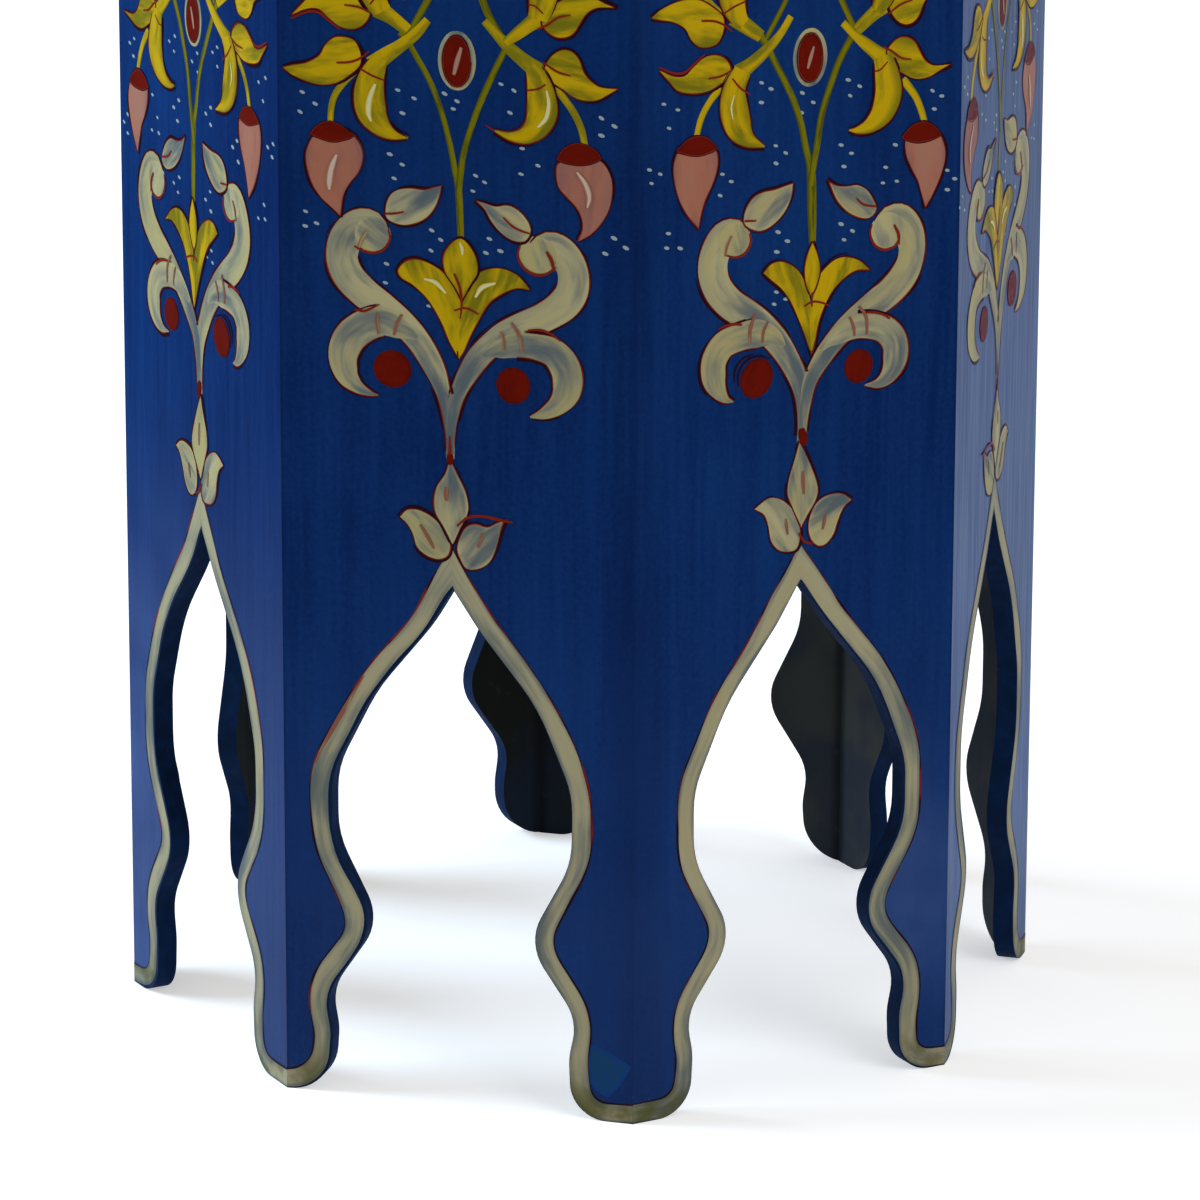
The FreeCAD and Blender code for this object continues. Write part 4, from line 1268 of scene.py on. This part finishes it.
# Each paint: colour, colour where it is thin, colour of its shaded side, where the shade starts and ends,
# and how thick it is where it starts to cover and where it covers
UNSHADED = (1.5, 2.0)
LIGHT = partial(brushed_paint, shading=UNSHADED, cover=(0.15, 0.8), contrast=0.4, rims=-0.85)
FINISHES = {
    "cream_paint": partial(brushed_paint, "cream", "cream_thin", "cream_thin", (0.6, 1.6), (-0.1, 0.95),
                           other="cream_warm", contrast=0.85, stretch=(21.0, 95.0), rims=0.25),
    "border_paint": partial(brushed_paint, "border", "border_thin", "border_thin", UNSHADED, (0.0, 0.95),
                            other="border_warm", stretch=(15.0, 120.0), rims=-0.35, grime=0.85),
    "sawn_paint": partial(brushed_paint, "sawn", "ground", "ground", UNSHADED, (0.0, 0.8), contrast=0.4),
    "yellow_paint": partial(brushed_paint, "yellow", "yellow_shade", "yellow_shade", (0.66, 1.15),
                            (-0.1, 0.75), contrast=0.95, stretch=(30.0, 120.0), rims=-0.15),
    "olive_paint": partial(brushed_paint, "olive", "olive_shade", "olive_shade", (0.6, 1.1), (0.1, 0.6),
                           rims=-0.3),
    "pink_paint": partial(brushed_paint, "pink", "pink_thin", "pink_thin", (0.7, 1.2), (-0.1, 0.7),
                          other="pink_light", contrast=0.6, stretch=(30.0, 110.0), rims=-0.2),
    "red_paint": partial(brushed_paint, "red", "red_shade", "red_shade", UNSHADED, (-0.1, 0.8),
                         contrast=0.55, stretch=(60.0, 160.0), rims=-0.3, shine=0.02),
    "line_paint": partial(brushed_paint, "line_dark", "line_dark", "line", (0.3, 0.75), (0.0, 0.1)),
    "border_line_paint": partial(brushed_paint, "line", "line_dark", "line_dark", UNSHADED, (0.2, 0.9)),
    "petal_lights": partial(LIGHT, "petal_light", "yellow", "yellow"),
    "bud_lights": partial(LIGHT, "bud_light", "pink", "pink"),
    "medallion_lights": partial(LIGHT, "medallion_light", "red", "red"),
    "pale_red_paint": partial(brushed_paint, "pale_red", "cream", "pale_red", UNSHADED, (0.2, 0.9)),
    "dot_paint": partial(brushed_paint, "dot", "cream_thin", "dot", UNSHADED, (0.0, 0.3)),
    "teal_varnish": partial(brushed_paint, "teal", "ground_light", "ground_light", (0.8, 1.3), (0.0, 0.8),
                            contrast=0.3, rims=-0.75, rough=0.3, shine=0.05),
    "panel_paint": panel_paint,
    "moulding_paint": moulding_paint,
    "top_paint": top_paint,
    "bare_pine": bare_pine,
    "fastener_steel": fastener_steel,
}


def material(name):
    """A finish by its name, made when it is first asked for."""
    if name not in bpy.data.materials:
        made = bpy.data.materials.new(name)
        made.use_nodes = True
        FINISHES[name](tree=made.node_tree)
    return bpy.data.materials[name]


def dress(names, finish):
    """Gives CAD nodes a material."""
    for name in names:
        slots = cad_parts[name].data.materials
        slots.clear()
        slots.append(material(finish))
    return {"FINISHED"}


def on_panels(name, paints, painter):
    """Makes a piece for each side. painter paints one of its two designs."""
    for side in SIDES:
        work = Paintwork()
        for layout, design in panel_layouts(side):
            painter(work, layout, design)
        work.piece(f"{name}_{side}", paints, PANEL_SLOT)
    return {"FINISHED"}


# How thick the cream paint is along a mark and for its width


def scroll_load(share, wide):
    """Scrolls are thin and greyish at the stem and full in the head."""
    return min(0.64, max(0.02, (wide - 2.5) / 14.0)) * (0.65 + 0.4 * share)


def hook_load(share, wide):
    """Hooks are even, and thinner where they leave the scroll and in their tails."""
    return (0.54 - 0.3 * max(0.0, share - 0.75)) * min(1.0, 0.75 + 1.5 * share)


def leaf_load(share, wide):
    """Leaves are thinner in the middle."""
    return 0.43 + 0.14 * math.sin(share * 5.0)


def cream_load(mark):
    """How the cream paint lies in a mark. Scroll heads are as full as the strokes that end in them."""
    if mark["kind"] == "stroke":
        return hook_load if mark["level"] else scroll_load
    return even(0.64) if mark["level"] == 0.6 else leaf_load


# How thick the other paints are
LOADS = {"flowers": 0.6, "stems": 0.62, "buds": 0.7, "reds": 0.7}


def lay_kinds(*kinds):
    """A painter of a design's marks, each kind with a paint of its own. The buds' stems are yellow."""

    def painter(work, layout, design):
        for slot, kind in enumerate(kinds):
            for number, mark in layout.marks(design, kind):
                load = cream_load(mark) if kind == "scrolls" else even(LOADS[kind])
                yellow = kind == "stems" and number > 1
                lay(work, layout, mark, slot + yellow, kind, number, load)
    return painter


# Operators, one for each kind of piece


class SIDETABLE_OT_panels(Operator):
    """Paint the eight side panels blue"""

    bl_idname = "side_table.panels"
    bl_label = "Paint Panels"

    def execute(self, context):
        return dress([f"side_panel_{side}" for side in SIDES], "panel_paint")


class SIDETABLE_OT_moulding(Operator):
    """Paint the strips round the top"""

    bl_idname = "side_table.moulding"
    bl_label = "Paint Moulding"

    def execute(self, context):
        return dress([f"edge_strip_{side}" for side in SIDES], "moulding_paint")


class SIDETABLE_OT_planks(Operator):
    """Paint the planks of the top"""

    bl_idname = "side_table.planks"
    bl_label = "Paint Top Planks"

    def execute(self, context):
        return dress(["top_plank_front", "top_plank_middle", "top_plank_back"], "top_paint")


class SIDETABLE_OT_woodwork(Operator):
    """Leave the glue blocks and cleats in bare pine"""

    bl_idname = "side_table.woodwork"
    bl_label = "Bare Woodwork"

    def execute(self, context):
        return dress([f"{kind}_{side}" for side in SIDES for kind in ("glue_block", "top_cleat")],
                     "bare_pine")


class SIDETABLE_OT_fasteners(Operator):
    """Finish the screws and brads in steel"""

    bl_idname = "side_table.fasteners"
    bl_label = "Screws and Brads"

    def execute(self, context):
        return dress(["top_screws", "cleat_brads", "strip_brads"], "fastener_steel")


class SIDETABLE_OT_borders(Operator):
    """Paint the cream border along each sawn arch, and the band under the top"""

    bl_idname = "side_table.borders"
    bl_label = "Borders"
    step = 1.4
    end_length = 14.0
    easings = 14

    def execute(self, context):
        for number, side in enumerate(SIDES):
            ground = panel_ground(side)
            work = Paintwork()
            path = even_path(arch_path(side), self.step)
            run = distances(path)
            peak = path.index(max(path, key=lambda p: p.y))
            margins = [MARGINS.get(side, USUAL_MARGINS)[i > peak] for i in range(len(path))]
            ends = [min(1.0, min(d, run[-1] - d) / self.end_length) for d in run]
            width = sizes().border_width * 1000.0
            widths = [width * (1.0 + 0.12 * end * wobble(d, number, 30.0)) + END_MARGIN
                      + (margin - END_MARGIN) * end for d, end, margin in zip(run, ends, margins)]
            eased = blunt(inner_edge(path, widths), self.easings)
            self.border(work, ground, number, width, [*zip(path, eased, run, margins, ends)])
            self.inner_line(work, ground, number, eased)
            self.top_band(work, ground, number)
            self.red_rub(work, ground, eased[:peak], *RED_RUBS.get(side, (0.0, 0.0)))
            work.piece(f"border_{side}", ["border_paint", "border_line_paint", "line_paint", "sawn_paint",
                                          "pale_red_paint"], PANEL_SLOT)
        return {"FINISHED"}

    def border(self, work, ground, number, width, places):
        """The cream band, and a dark strip between it and the sawn edge."""
        rows = []
        strips = []
        tone = number % 7 * 0.13
        for p, q, d, margin, end in places:
            margin = END_MARGIN + (margin * (1.0 + 0.35 * wobble(d, number + 13, 18.0)) - END_MARGIN) * end
            near = p.lerp(q, min(0.4, margin / (q - p).length))
            load = 0.68 + 0.25 * wobble(d, number + 5, 26.0)
            row = []
            for share, rim in ((0.0, 1.0), (0.28, 0.1), (0.5, 0.0), (0.72, 0.1), (1.0, 1.0)):
                spot = near.lerp(q, share)
                row.append(work.point(ground, spot.x, spot.y, lift_of(0), d, share * width, share, load, tone,
                                      rim))
            foot = p.lerp(q, 1.02)
            row.append(work.point(ground, foot.x, foot.y, SUNK, d, width, 1.0, load, tone, 1.0))
            outer = row[0]
            if margin > 0.5:
                foot = near.lerp(p, 0.1)
                outer = work.point(ground, foot.x, foot.y, SUNK, d, 0.0, 0.0, load, tone, 1.0)
            rows.append([outer] + row)
            strips.append([work.point(ground, spot.x, spot.y, lift_of(-1), d, 0.0, 0.0, 0.8, tone)
                           for spot in (p, near.lerp(q, 0.1))])
        work.cover(rows, 0, ground)
        work.cover(strips, 3, ground)

    def inner_line(self, work, ground, number, path):
        """The red line along the border, which fades out towards the feet."""
        run = distances(path)
        drawn = []
        for i, d in enumerate(run):
            wide = sizes().line_width * 850.0 * (1.0 + 0.6 * wobble(d, number + 2, 10.0))
            drawn.append(Vector((*beside(path, i, 0.15 + 0.3 * wobble(d, number + 4, 24.0)), wide)))

        def load(p):
            return min(0.65, max(0.1, (p.y - 100.0) / 90.0)) + 0.6 * wobble(p.y + p.x, number, 16.0)

        work.line(ground, drawn, lift_of(1), 1, number / 8.0, 0.0, load=load)

    def red_rub(self, work, ground, path, low, high):
        """Red rubbed into the border between two heights."""
        rub = []
        for i, p in enumerate(path):
            if low < p.y < high:
                wide = 0.3 + 1.7 * math.sin(math.pi * (p.y - low) / (high - low))
                rub.append(Vector((*beside(path, i, -0.7), wide)))
        if rub:
            work.line(ground, rub, lift_of(2), 4, 0.2, 0.5, flat=True)

    def top_band(self, work, ground, number):
        half = sizes().drawn_width * 500.0
        bottom = sizes().mirror_level * 2000.0 - BAND_END
        high = sizes().band_height * 1000.0
        band = straight_band(half, 90, bottom + high / 2, high, 0.08, number + 11, 30.0)
        work.ribbon(ground, band, lift_of(0), 0, 0.4, even(0.75))
        for height, inner in ((bottom, 1.0), (bottom + high, 0.0)):
            line = [Vector((p.x, height, 0.0)) for p in band]
            hand_line(work, Layout(ground), line, 1, 2, number * 2 + inner, inner, True, False)


def straight_band(half, count, height, wide, share, seed, wave):
    """A level path from side to side, with a width that strays by a share."""
    band = []
    for i in range(count + 1):
        u = -half + 2 * half * i / count
        band.append(Vector((u, height, wide * (1.0 + share * wobble(u + 90, seed, wave)))))
    return band


class SIDETABLE_OT_scrolls(Operator):
    """Paint the cream scrolls, leaves and buds of the panels"""

    bl_idname = "side_table.scrolls"
    bl_label = "Scrolls"

    def execute(self, context):
        return on_panels("scrolls", ["cream_paint"], lay_kinds("scrolls"))


class SIDETABLE_OT_flowers(Operator):
    """Paint the yellow flowers"""

    bl_idname = "side_table.flowers"
    bl_label = "Flowers"

    def execute(self, context):
        return on_panels("flowers", ["yellow_paint"], lay_kinds("flowers"))


class SIDETABLE_OT_stems(Operator):
    """Paint the olive stems"""

    bl_idname = "side_table.stems"
    bl_label = "Stems"

    def execute(self, context):
        return on_panels("stems", ["olive_paint", "yellow_paint"], lay_kinds("stems"))


class SIDETABLE_OT_buds(Operator):
    """Paint the pink buds, their red caps, the red dots and the medallion"""

    bl_idname = "side_table.buds"
    bl_label = "Buds"

    def execute(self, context):
        return on_panels("buds", ["pink_paint", "red_paint"], lay_kinds("buds", "reds"))


class SIDETABLE_OT_lines(Operator):
    """Draw the red outlines, the red strokes and the pale lights"""

    bl_idname = "side_table.lines"
    bl_label = "Outlines and Lights"

    def execute(self, context):
        paints = ["line_paint", "pale_red_paint", "petal_lights", "bud_lights", "medallion_lights"]
        return on_panels("outlines", paints, self.paint)

    def paint(self, work, layout, design):
        for kind in ("scrolls", "flowers", "buds", "reds"):
            for number, mark in layout.marks(design, kind):
                outline_mark(work, layout, mark, 0, layout.seed + number * 1.3 + len(kind), kind != "reds")
        strokes = (("shades", 1.6, 0, 0.0), ("pale", 4.2, 1, 0.5), ("lines", 4.6, 0, 0.95))
        for kind, level, slot, pale in strokes:
            for number, points in layout.marks(design, kind):
                draw(work, layout, points, level, slot, number, pale)
        for number, points in layout.marks(design, "lights"):
            slot = 4 if number == 0 else 3 if number in design["bud_lights"] else 2
            swollen = [(u, z, wide * 1.4) for u, z, wide in points]
            draw(work, layout, swollen, 5.0, slot, number, 0.5)


class SIDETABLE_OT_dots(Operator):
    """Dab the small pale dots"""

    bl_idname = "side_table.dots"
    bl_label = "Dots"

    def execute(self, context):
        def painter(work, layout, design):
            for number, spot in layout.marks(design, "dots"):
                lean = -20.0 + 12.0 * wobble(number * 9.0, layout.seed)
                size = 1.0 + 0.18 * wobble(number * 5.0, layout.seed + 2)
                dab(work, layout, spot, 0, number, 2.35 * size, 1.2 * size, lean)
        return on_panels("dots", ["dot_paint"], painter)


class SIDETABLE_OT_foot_patch(Operator):
    """Lay the small greenish patch on the front foot"""

    bl_idname = "side_table.foot_patch"
    bl_label = "Patch on Foot"

    def execute(self, context):
        work = Paintwork()
        mark = shape(0, tip(57, 34), (66, 31), tip(76, 25.5), (71, 17), tip(66, 11), (61, 13), tip(57.5, 17))
        path = smooth_outline(mark["points"], 1.5)
        work.patch(panel_ground("front"), path, lift_of(-1), 0, 0.3, even(0.6))
        work.piece("foot_patch", ["teal_varnish"], PANEL_SLOT)
        return {"FINISHED"}


class SIDETABLE_OT_top_design(Operator):
    """Paint the border, the eight flowers and the rosette of the top"""

    bl_idname = "side_table.top_design"
    bl_label = "Top Design"
    shares = [i / 40 - 1 for i in range(81)]

    def execute(self, context):
        middle = UP * reach("top_plank_middle", UP)
        self.border(middle)
        self.flowers(middle)
        self.rosette(middle)
        return {"FINISHED"}

    def border(self, middle):
        work = Paintwork()
        outer = (reach("top_plank_front", facing("front")[0]) - sizes().top_inset) * 1000.0
        wide = sizes().top_border * 1000.0
        gap = 3.4
        for number, side in enumerate(SIDES):
            outward, rightward = facing(side)
            ground = Ground(middle, rightward, outward, UP)
            self.band(work, ground, outer - wide / 2, wide, number)
            for distance in (outer, outer - wide, outer - wide - gap):
                half = distance * HALF_SIDE
                line = [Vector((half * share, distance, 0.0)) for share in self.shares]
                hand_line(work, Layout(ground), line, 1, 1, number + distance, 0.5, True, False)
        work.piece("top_border", ["cream_paint", "line_paint"], TOP_SLOT)

    def band(self, work, ground, distance, width, number):
        rows = []
        for side_share in self.shares:
            near = (distance - width / 2) * HALF_SIDE * side_share
            far = (distance + width / 2) * HALF_SIDE * side_share
            load = 0.7 + 0.25 * wobble(near + 90, number + 5, 26.0)
            rows.append([work.point(ground, near + (far - near) * share, distance - width / 2 + width * share,
                                    lift_of(0), near, width * share, share, load, number * 0.13 % 1.0, rim)
                         for share, rim in ((0.0, 1.0), (0.33, 0.1), (0.66, 0.1), (1.0, 1.0))])
        work.cover(rows, 0, ground)

    def flowers(self, middle):
        """The panels' lower flowers again, smaller, with their feet to the middle."""
        work = Paintwork()
        scale = 0.00067
        start = sizes().top_motif_start / scale - FLOWERS_START
        for number, side in enumerate(SIDES):
            outward, rightward = facing(side)
            design = DESIGNS["first" if number % 2 else "second"]
            ground = Ground(middle + outward * (start * scale), -rightward, outward, UP, scale)
            layout = Layout(ground, shift=-design["foot"], seed=number + 40)
            for slot, kind in enumerate(("scrolls", "flowers", "reds")):
                self.marks(work, layout, design, kind, slot)
            for kind, slot, pale in (("lines", 3, 0.95), ("lights", 4, 0.5)):
                for count, points in enumerate(design[kind]):
                    if max(p[1] for p in points) < FLOWERS_END:
                        draw(work, layout, points, 4.6, slot, count, pale)
            for count, spot in enumerate(design["dots"]):
                if DOTS_START < spot[1] < FLOWERS_END and abs(spot[0]) < DOTS_SPREAD:
                    dab(work, layout, spot, 4, count, 2.6, 1.6, -24.0)
        work.piece("top_flowers", ["cream_paint", "yellow_paint", "red_paint", "line_paint", "dot_paint"],
                   TOP_SLOT)

    def marks(self, work, layout, design, kind, slot):
        for number, mark in enumerate(design[kind]):
            if max(p[1] for p in mark["points"]) < FLOWERS_END:
                lay(work, layout, mark, slot, kind, number, leaf_load if slot else cream_load(mark))
                outline_mark(work, layout, mark, 3, layout.seed + number * 1.3)

    def rosette(self, middle):
        """Long cream petals, short yellow ones between them, and round discs."""
        work = Paintwork()
        ground = Ground(middle, Vector((1.0, 0.0, 0.0)), Vector((0.0, 1.0, 0.0)), UP)
        layout = Layout(ground, seed=60)
        for number in range(16):
            short = number % 2
            far, wide = (36.0, 11.0) if short else (47.0, 15.0)
            half = [(along, share * wide / 2)
                    for along, share in ((11, 0.3), (20, 0.75), (far * 0.64, 1.0), (far * 0.84, 0.66))]
            outline = half + [(far, 0.0, 1.0)] + [(a, -b) for a, b in reversed(half)]
            mark = shape(1 - short, *[rotated(p[0], p[1], math.pi / 8 * number) + p[2:] for p in outline])
            lay(work, layout, mark, short, "scrolls", number, leaf_load)
            outline_mark(work, layout, mark, 3, 60 + number)
        for level, size, slot in ((3, 27.0, 0), (4, 19.0, 2), (4.6, 7.0, 1)):
            disc = oval(level, 0.0, 0.0, size, size)
            lay(work, layout, disc, slot, "reds", 0, leaf_load)
            outline_mark(work, layout, disc, 3, 80 + size)
        work.piece("top_rosette", ["cream_paint", "yellow_paint", "red_paint", "line_paint"], TOP_SLOT)


class SIDETABLE_OT_moulding_bands(Operator):
    """Paint a cream band along the moulding"""

    bl_idname = "side_table.moulding_bands"
    bl_label = "Moulding Bands"

    def execute(self, context):
        work = Paintwork()
        wide = 5.0
        line_off = 2.6
        for number, side in enumerate(SIDES):
            outward, rightward = facing(side)
            low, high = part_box(f"edge_strip_{side}")
            face = reach(f"edge_strip_{side}", outward)
            ground = Ground(outward * face, rightward, UP, outward)
            height = low.z * 1000.0 + (high.z - low.z) * 1000.0 * 0.42
            band = straight_band(face * HALF_SIDE * 1000.0, 60, height, wide, 0.1, number, 24.0)
            work.ribbon(ground, band, lift_of(0), 0, 0.3 + number * 0.05, even(0.72))
            for sign in (-1.0, 1.0):
                line = [Vector((p.x, p.y + sign * line_off, 0.0)) for p in band]
                hand_line(work, Layout(ground), line, 1, 1, number + sign, 0.5 - sign / 2, True, False)
        work.piece("moulding_bands", ["cream_paint", "line_paint"], MOULDING_SLOT)
        return {"FINISHED"}


class SIDETABLE_OT_stage(Operator):
    """Set the floor, the lamps, the surrounding light and the camera"""

    bl_idname = "side_table.stage"
    bl_label = "Studio"

    def execute(self, context):
        scene = context.scene
        scene.view_settings.view_transform = "Standard"
        self.floor(scene)
        self.world(scene)
        self.lamp(scene, "key_lamp", (-3.1, -0.3, 1.9), studio().key, (0.55, 0.75, 1.0))
        self.lamp(scene, "fill_lamp", (2.6, -1.5, 1.8), studio().fill, (0.75, 0.85, 1.0))
        self.camera(scene)
        return {"FINISHED"}

    def floor(self, scene):
        """A pale floor that takes the table's shadow. In gloss it is dim at the table's front and left."""
        mesh = bpy.data.meshes.new("floor")
        far = 14.0
        mesh.from_pydata([(-far, -far, 0), (far, -far, 0), (far, far, 0), (-far, far, 0)], [], [(0, 1, 2, 3)])
        floor = bpy.data.objects.new("floor", mesh)
        scene.collection.objects.link(floor)
        finish = bpy.data.materials.new("pale_floor")
        finish.use_nodes = True
        tree = finish.node_tree
        where = on_object(tree)
        across, deep, _ = across_deep_height(where)
        path = node(tree, "LightPath")
        camera, glossy, clear = [Wire(path.outputs[f"Is {kind} Ray"])
                                 for kind in ("Camera", "Glossy", "Transmission")]
        beside_table = deep.ramp(0.6, 0.25).larger(across.ramp(0.0, -0.3))
        dim = vector_maths("LENGTH", where, output="Value").ramp(0.45, 1.0) * beside_table * glossy
        tone = clouds(where, 3.0, 2.0).mix((0.84, 0.79, 0.73), (0.86, 0.81, 0.75))
        tone = glossy.mix(tone, (0.62, 0.74, 0.95))
        tone = (dim * 0.97).mix(tone, (0.01, 0.01, 0.015))
        seen = camera.larger(clear).larger(glossy * (1.0 - dim))
        shone = glossy.mix((1.0, 1.0, 1.0), (1.2, 1.4, 1.75))
        values = {"Base Color": tone, "Roughness": 0.9, "Specular IOR Level": 0.0, "Emission Color": shone,
                  "Emission Strength": seen * 0.45}
        for name, value in values.items():
            put(tree.nodes["Principled BSDF"].inputs[name], value)
        mesh.materials.append(finish)

    def world(self, scene):
        world = bpy.data.worlds.new("surround")
        scene.world = world
        world.use_nodes = True
        tree = world.node_tree
        back = tree.nodes["Background"]
        path = node(tree, "LightPath")
        seen = Wire(path.outputs["Is Camera Ray"]).larger(Wire(path.outputs["Is Transmission Ray"]))
        put(back.inputs["Color"], (1.0, 1.0, 1.0))
        put(back.inputs["Strength"],
            wire(tree, "MapRange", {"Value": seen, "To Min": studio().world, "To Max": 1.0}, "Result"))

    def lamp(self, scene, name, place, power, colour):
        data = bpy.data.lights.new(name, "AREA")
        data.color = colour
        data.shape = "DISK"
        data.size = 2.2
        data.energy = power
        lamp = bpy.data.objects.new(name, data)
        scene.collection.objects.link(lamp)
        lamp.location = place
        lamp.rotation_mode = "QUATERNION"
        lamp.rotation_quaternion = (Vector((0.0, 0.0, 0.3)) - lamp.location).to_track_quat("-Z", "Y")

    def camera(self, scene):
        data = bpy.data.cameras.new("camera")
        data.sensor_width = 36.0
        data.lens = 214.65
        data.clip_start = 0.05
        data.clip_end = 60.0
        camera = bpy.data.objects.new("camera", data)
        scene.collection.objects.link(camera)
        aim = Vector((0.00695, 0.00203, 0.17095))
        place = Vector((0.85384, -2.89888, 1.0683))
        roll = Matrix.Rotation(math.radians(0.194), 4, "Z")
        turn = (aim - place).to_track_quat("-Z", "Y").to_matrix().to_4x4()
        camera.matrix_world = Matrix.Translation(place) @ turn @ roll
        scene.camera = camera


class SIDETABLE_PT_panel(Panel):
    """Lists the table's pieces"""

    bl_idname = "SIDETABLE_PT_panel"
    bl_label = "Side Table"
    bl_space_type = "VIEW_3D"
    bl_region_type = "UI"
    bl_category = "Side Table"

    def draw(self, context):
        layout = self.layout
        for operator in OPERATORS:
            layout.operator(operator.bl_idname)
        for group in (colours(), sizes(), studio()):
            box = layout.box()
            for name in group.__annotations__:
                box.prop(group, name)


OPERATORS = (
    SIDETABLE_OT_panels, SIDETABLE_OT_moulding, SIDETABLE_OT_planks, SIDETABLE_OT_woodwork,
    SIDETABLE_OT_fasteners, SIDETABLE_OT_borders, SIDETABLE_OT_scrolls, SIDETABLE_OT_flowers,
    SIDETABLE_OT_stems, SIDETABLE_OT_buds, SIDETABLE_OT_lines, SIDETABLE_OT_dots, SIDETABLE_OT_foot_patch,
    SIDETABLE_OT_top_design, SIDETABLE_OT_moulding_bands, SIDETABLE_OT_stage,
)
GROUPS = (TableColours, TableSizes, StudioSettings)


def register():
    for cls in GROUPS + OPERATORS + (SIDETABLE_PT_panel,):
        bpy.utils.register_class(cls)
    bpy.types.Scene.side_table_colours = PointerProperty(type=TableColours)
    bpy.types.Scene.side_table_sizes = PointerProperty(type=TableSizes)
    bpy.types.Scene.side_table_studio = PointerProperty(type=StudioSettings)


def unregister():
    del bpy.types.Scene.side_table_colours
    del bpy.types.Scene.side_table_sizes
    del bpy.types.Scene.side_table_studio
    for cls in reversed(GROUPS + OPERATORS + (SIDETABLE_PT_panel,)):
        bpy.utils.unregister_class(cls)


def main():
    register()
    for operator in OPERATORS:
        area, name = operator.bl_idname.split(".")
        getattr(getattr(bpy.ops, area), name)()


if __name__ == "__main__":
    main()
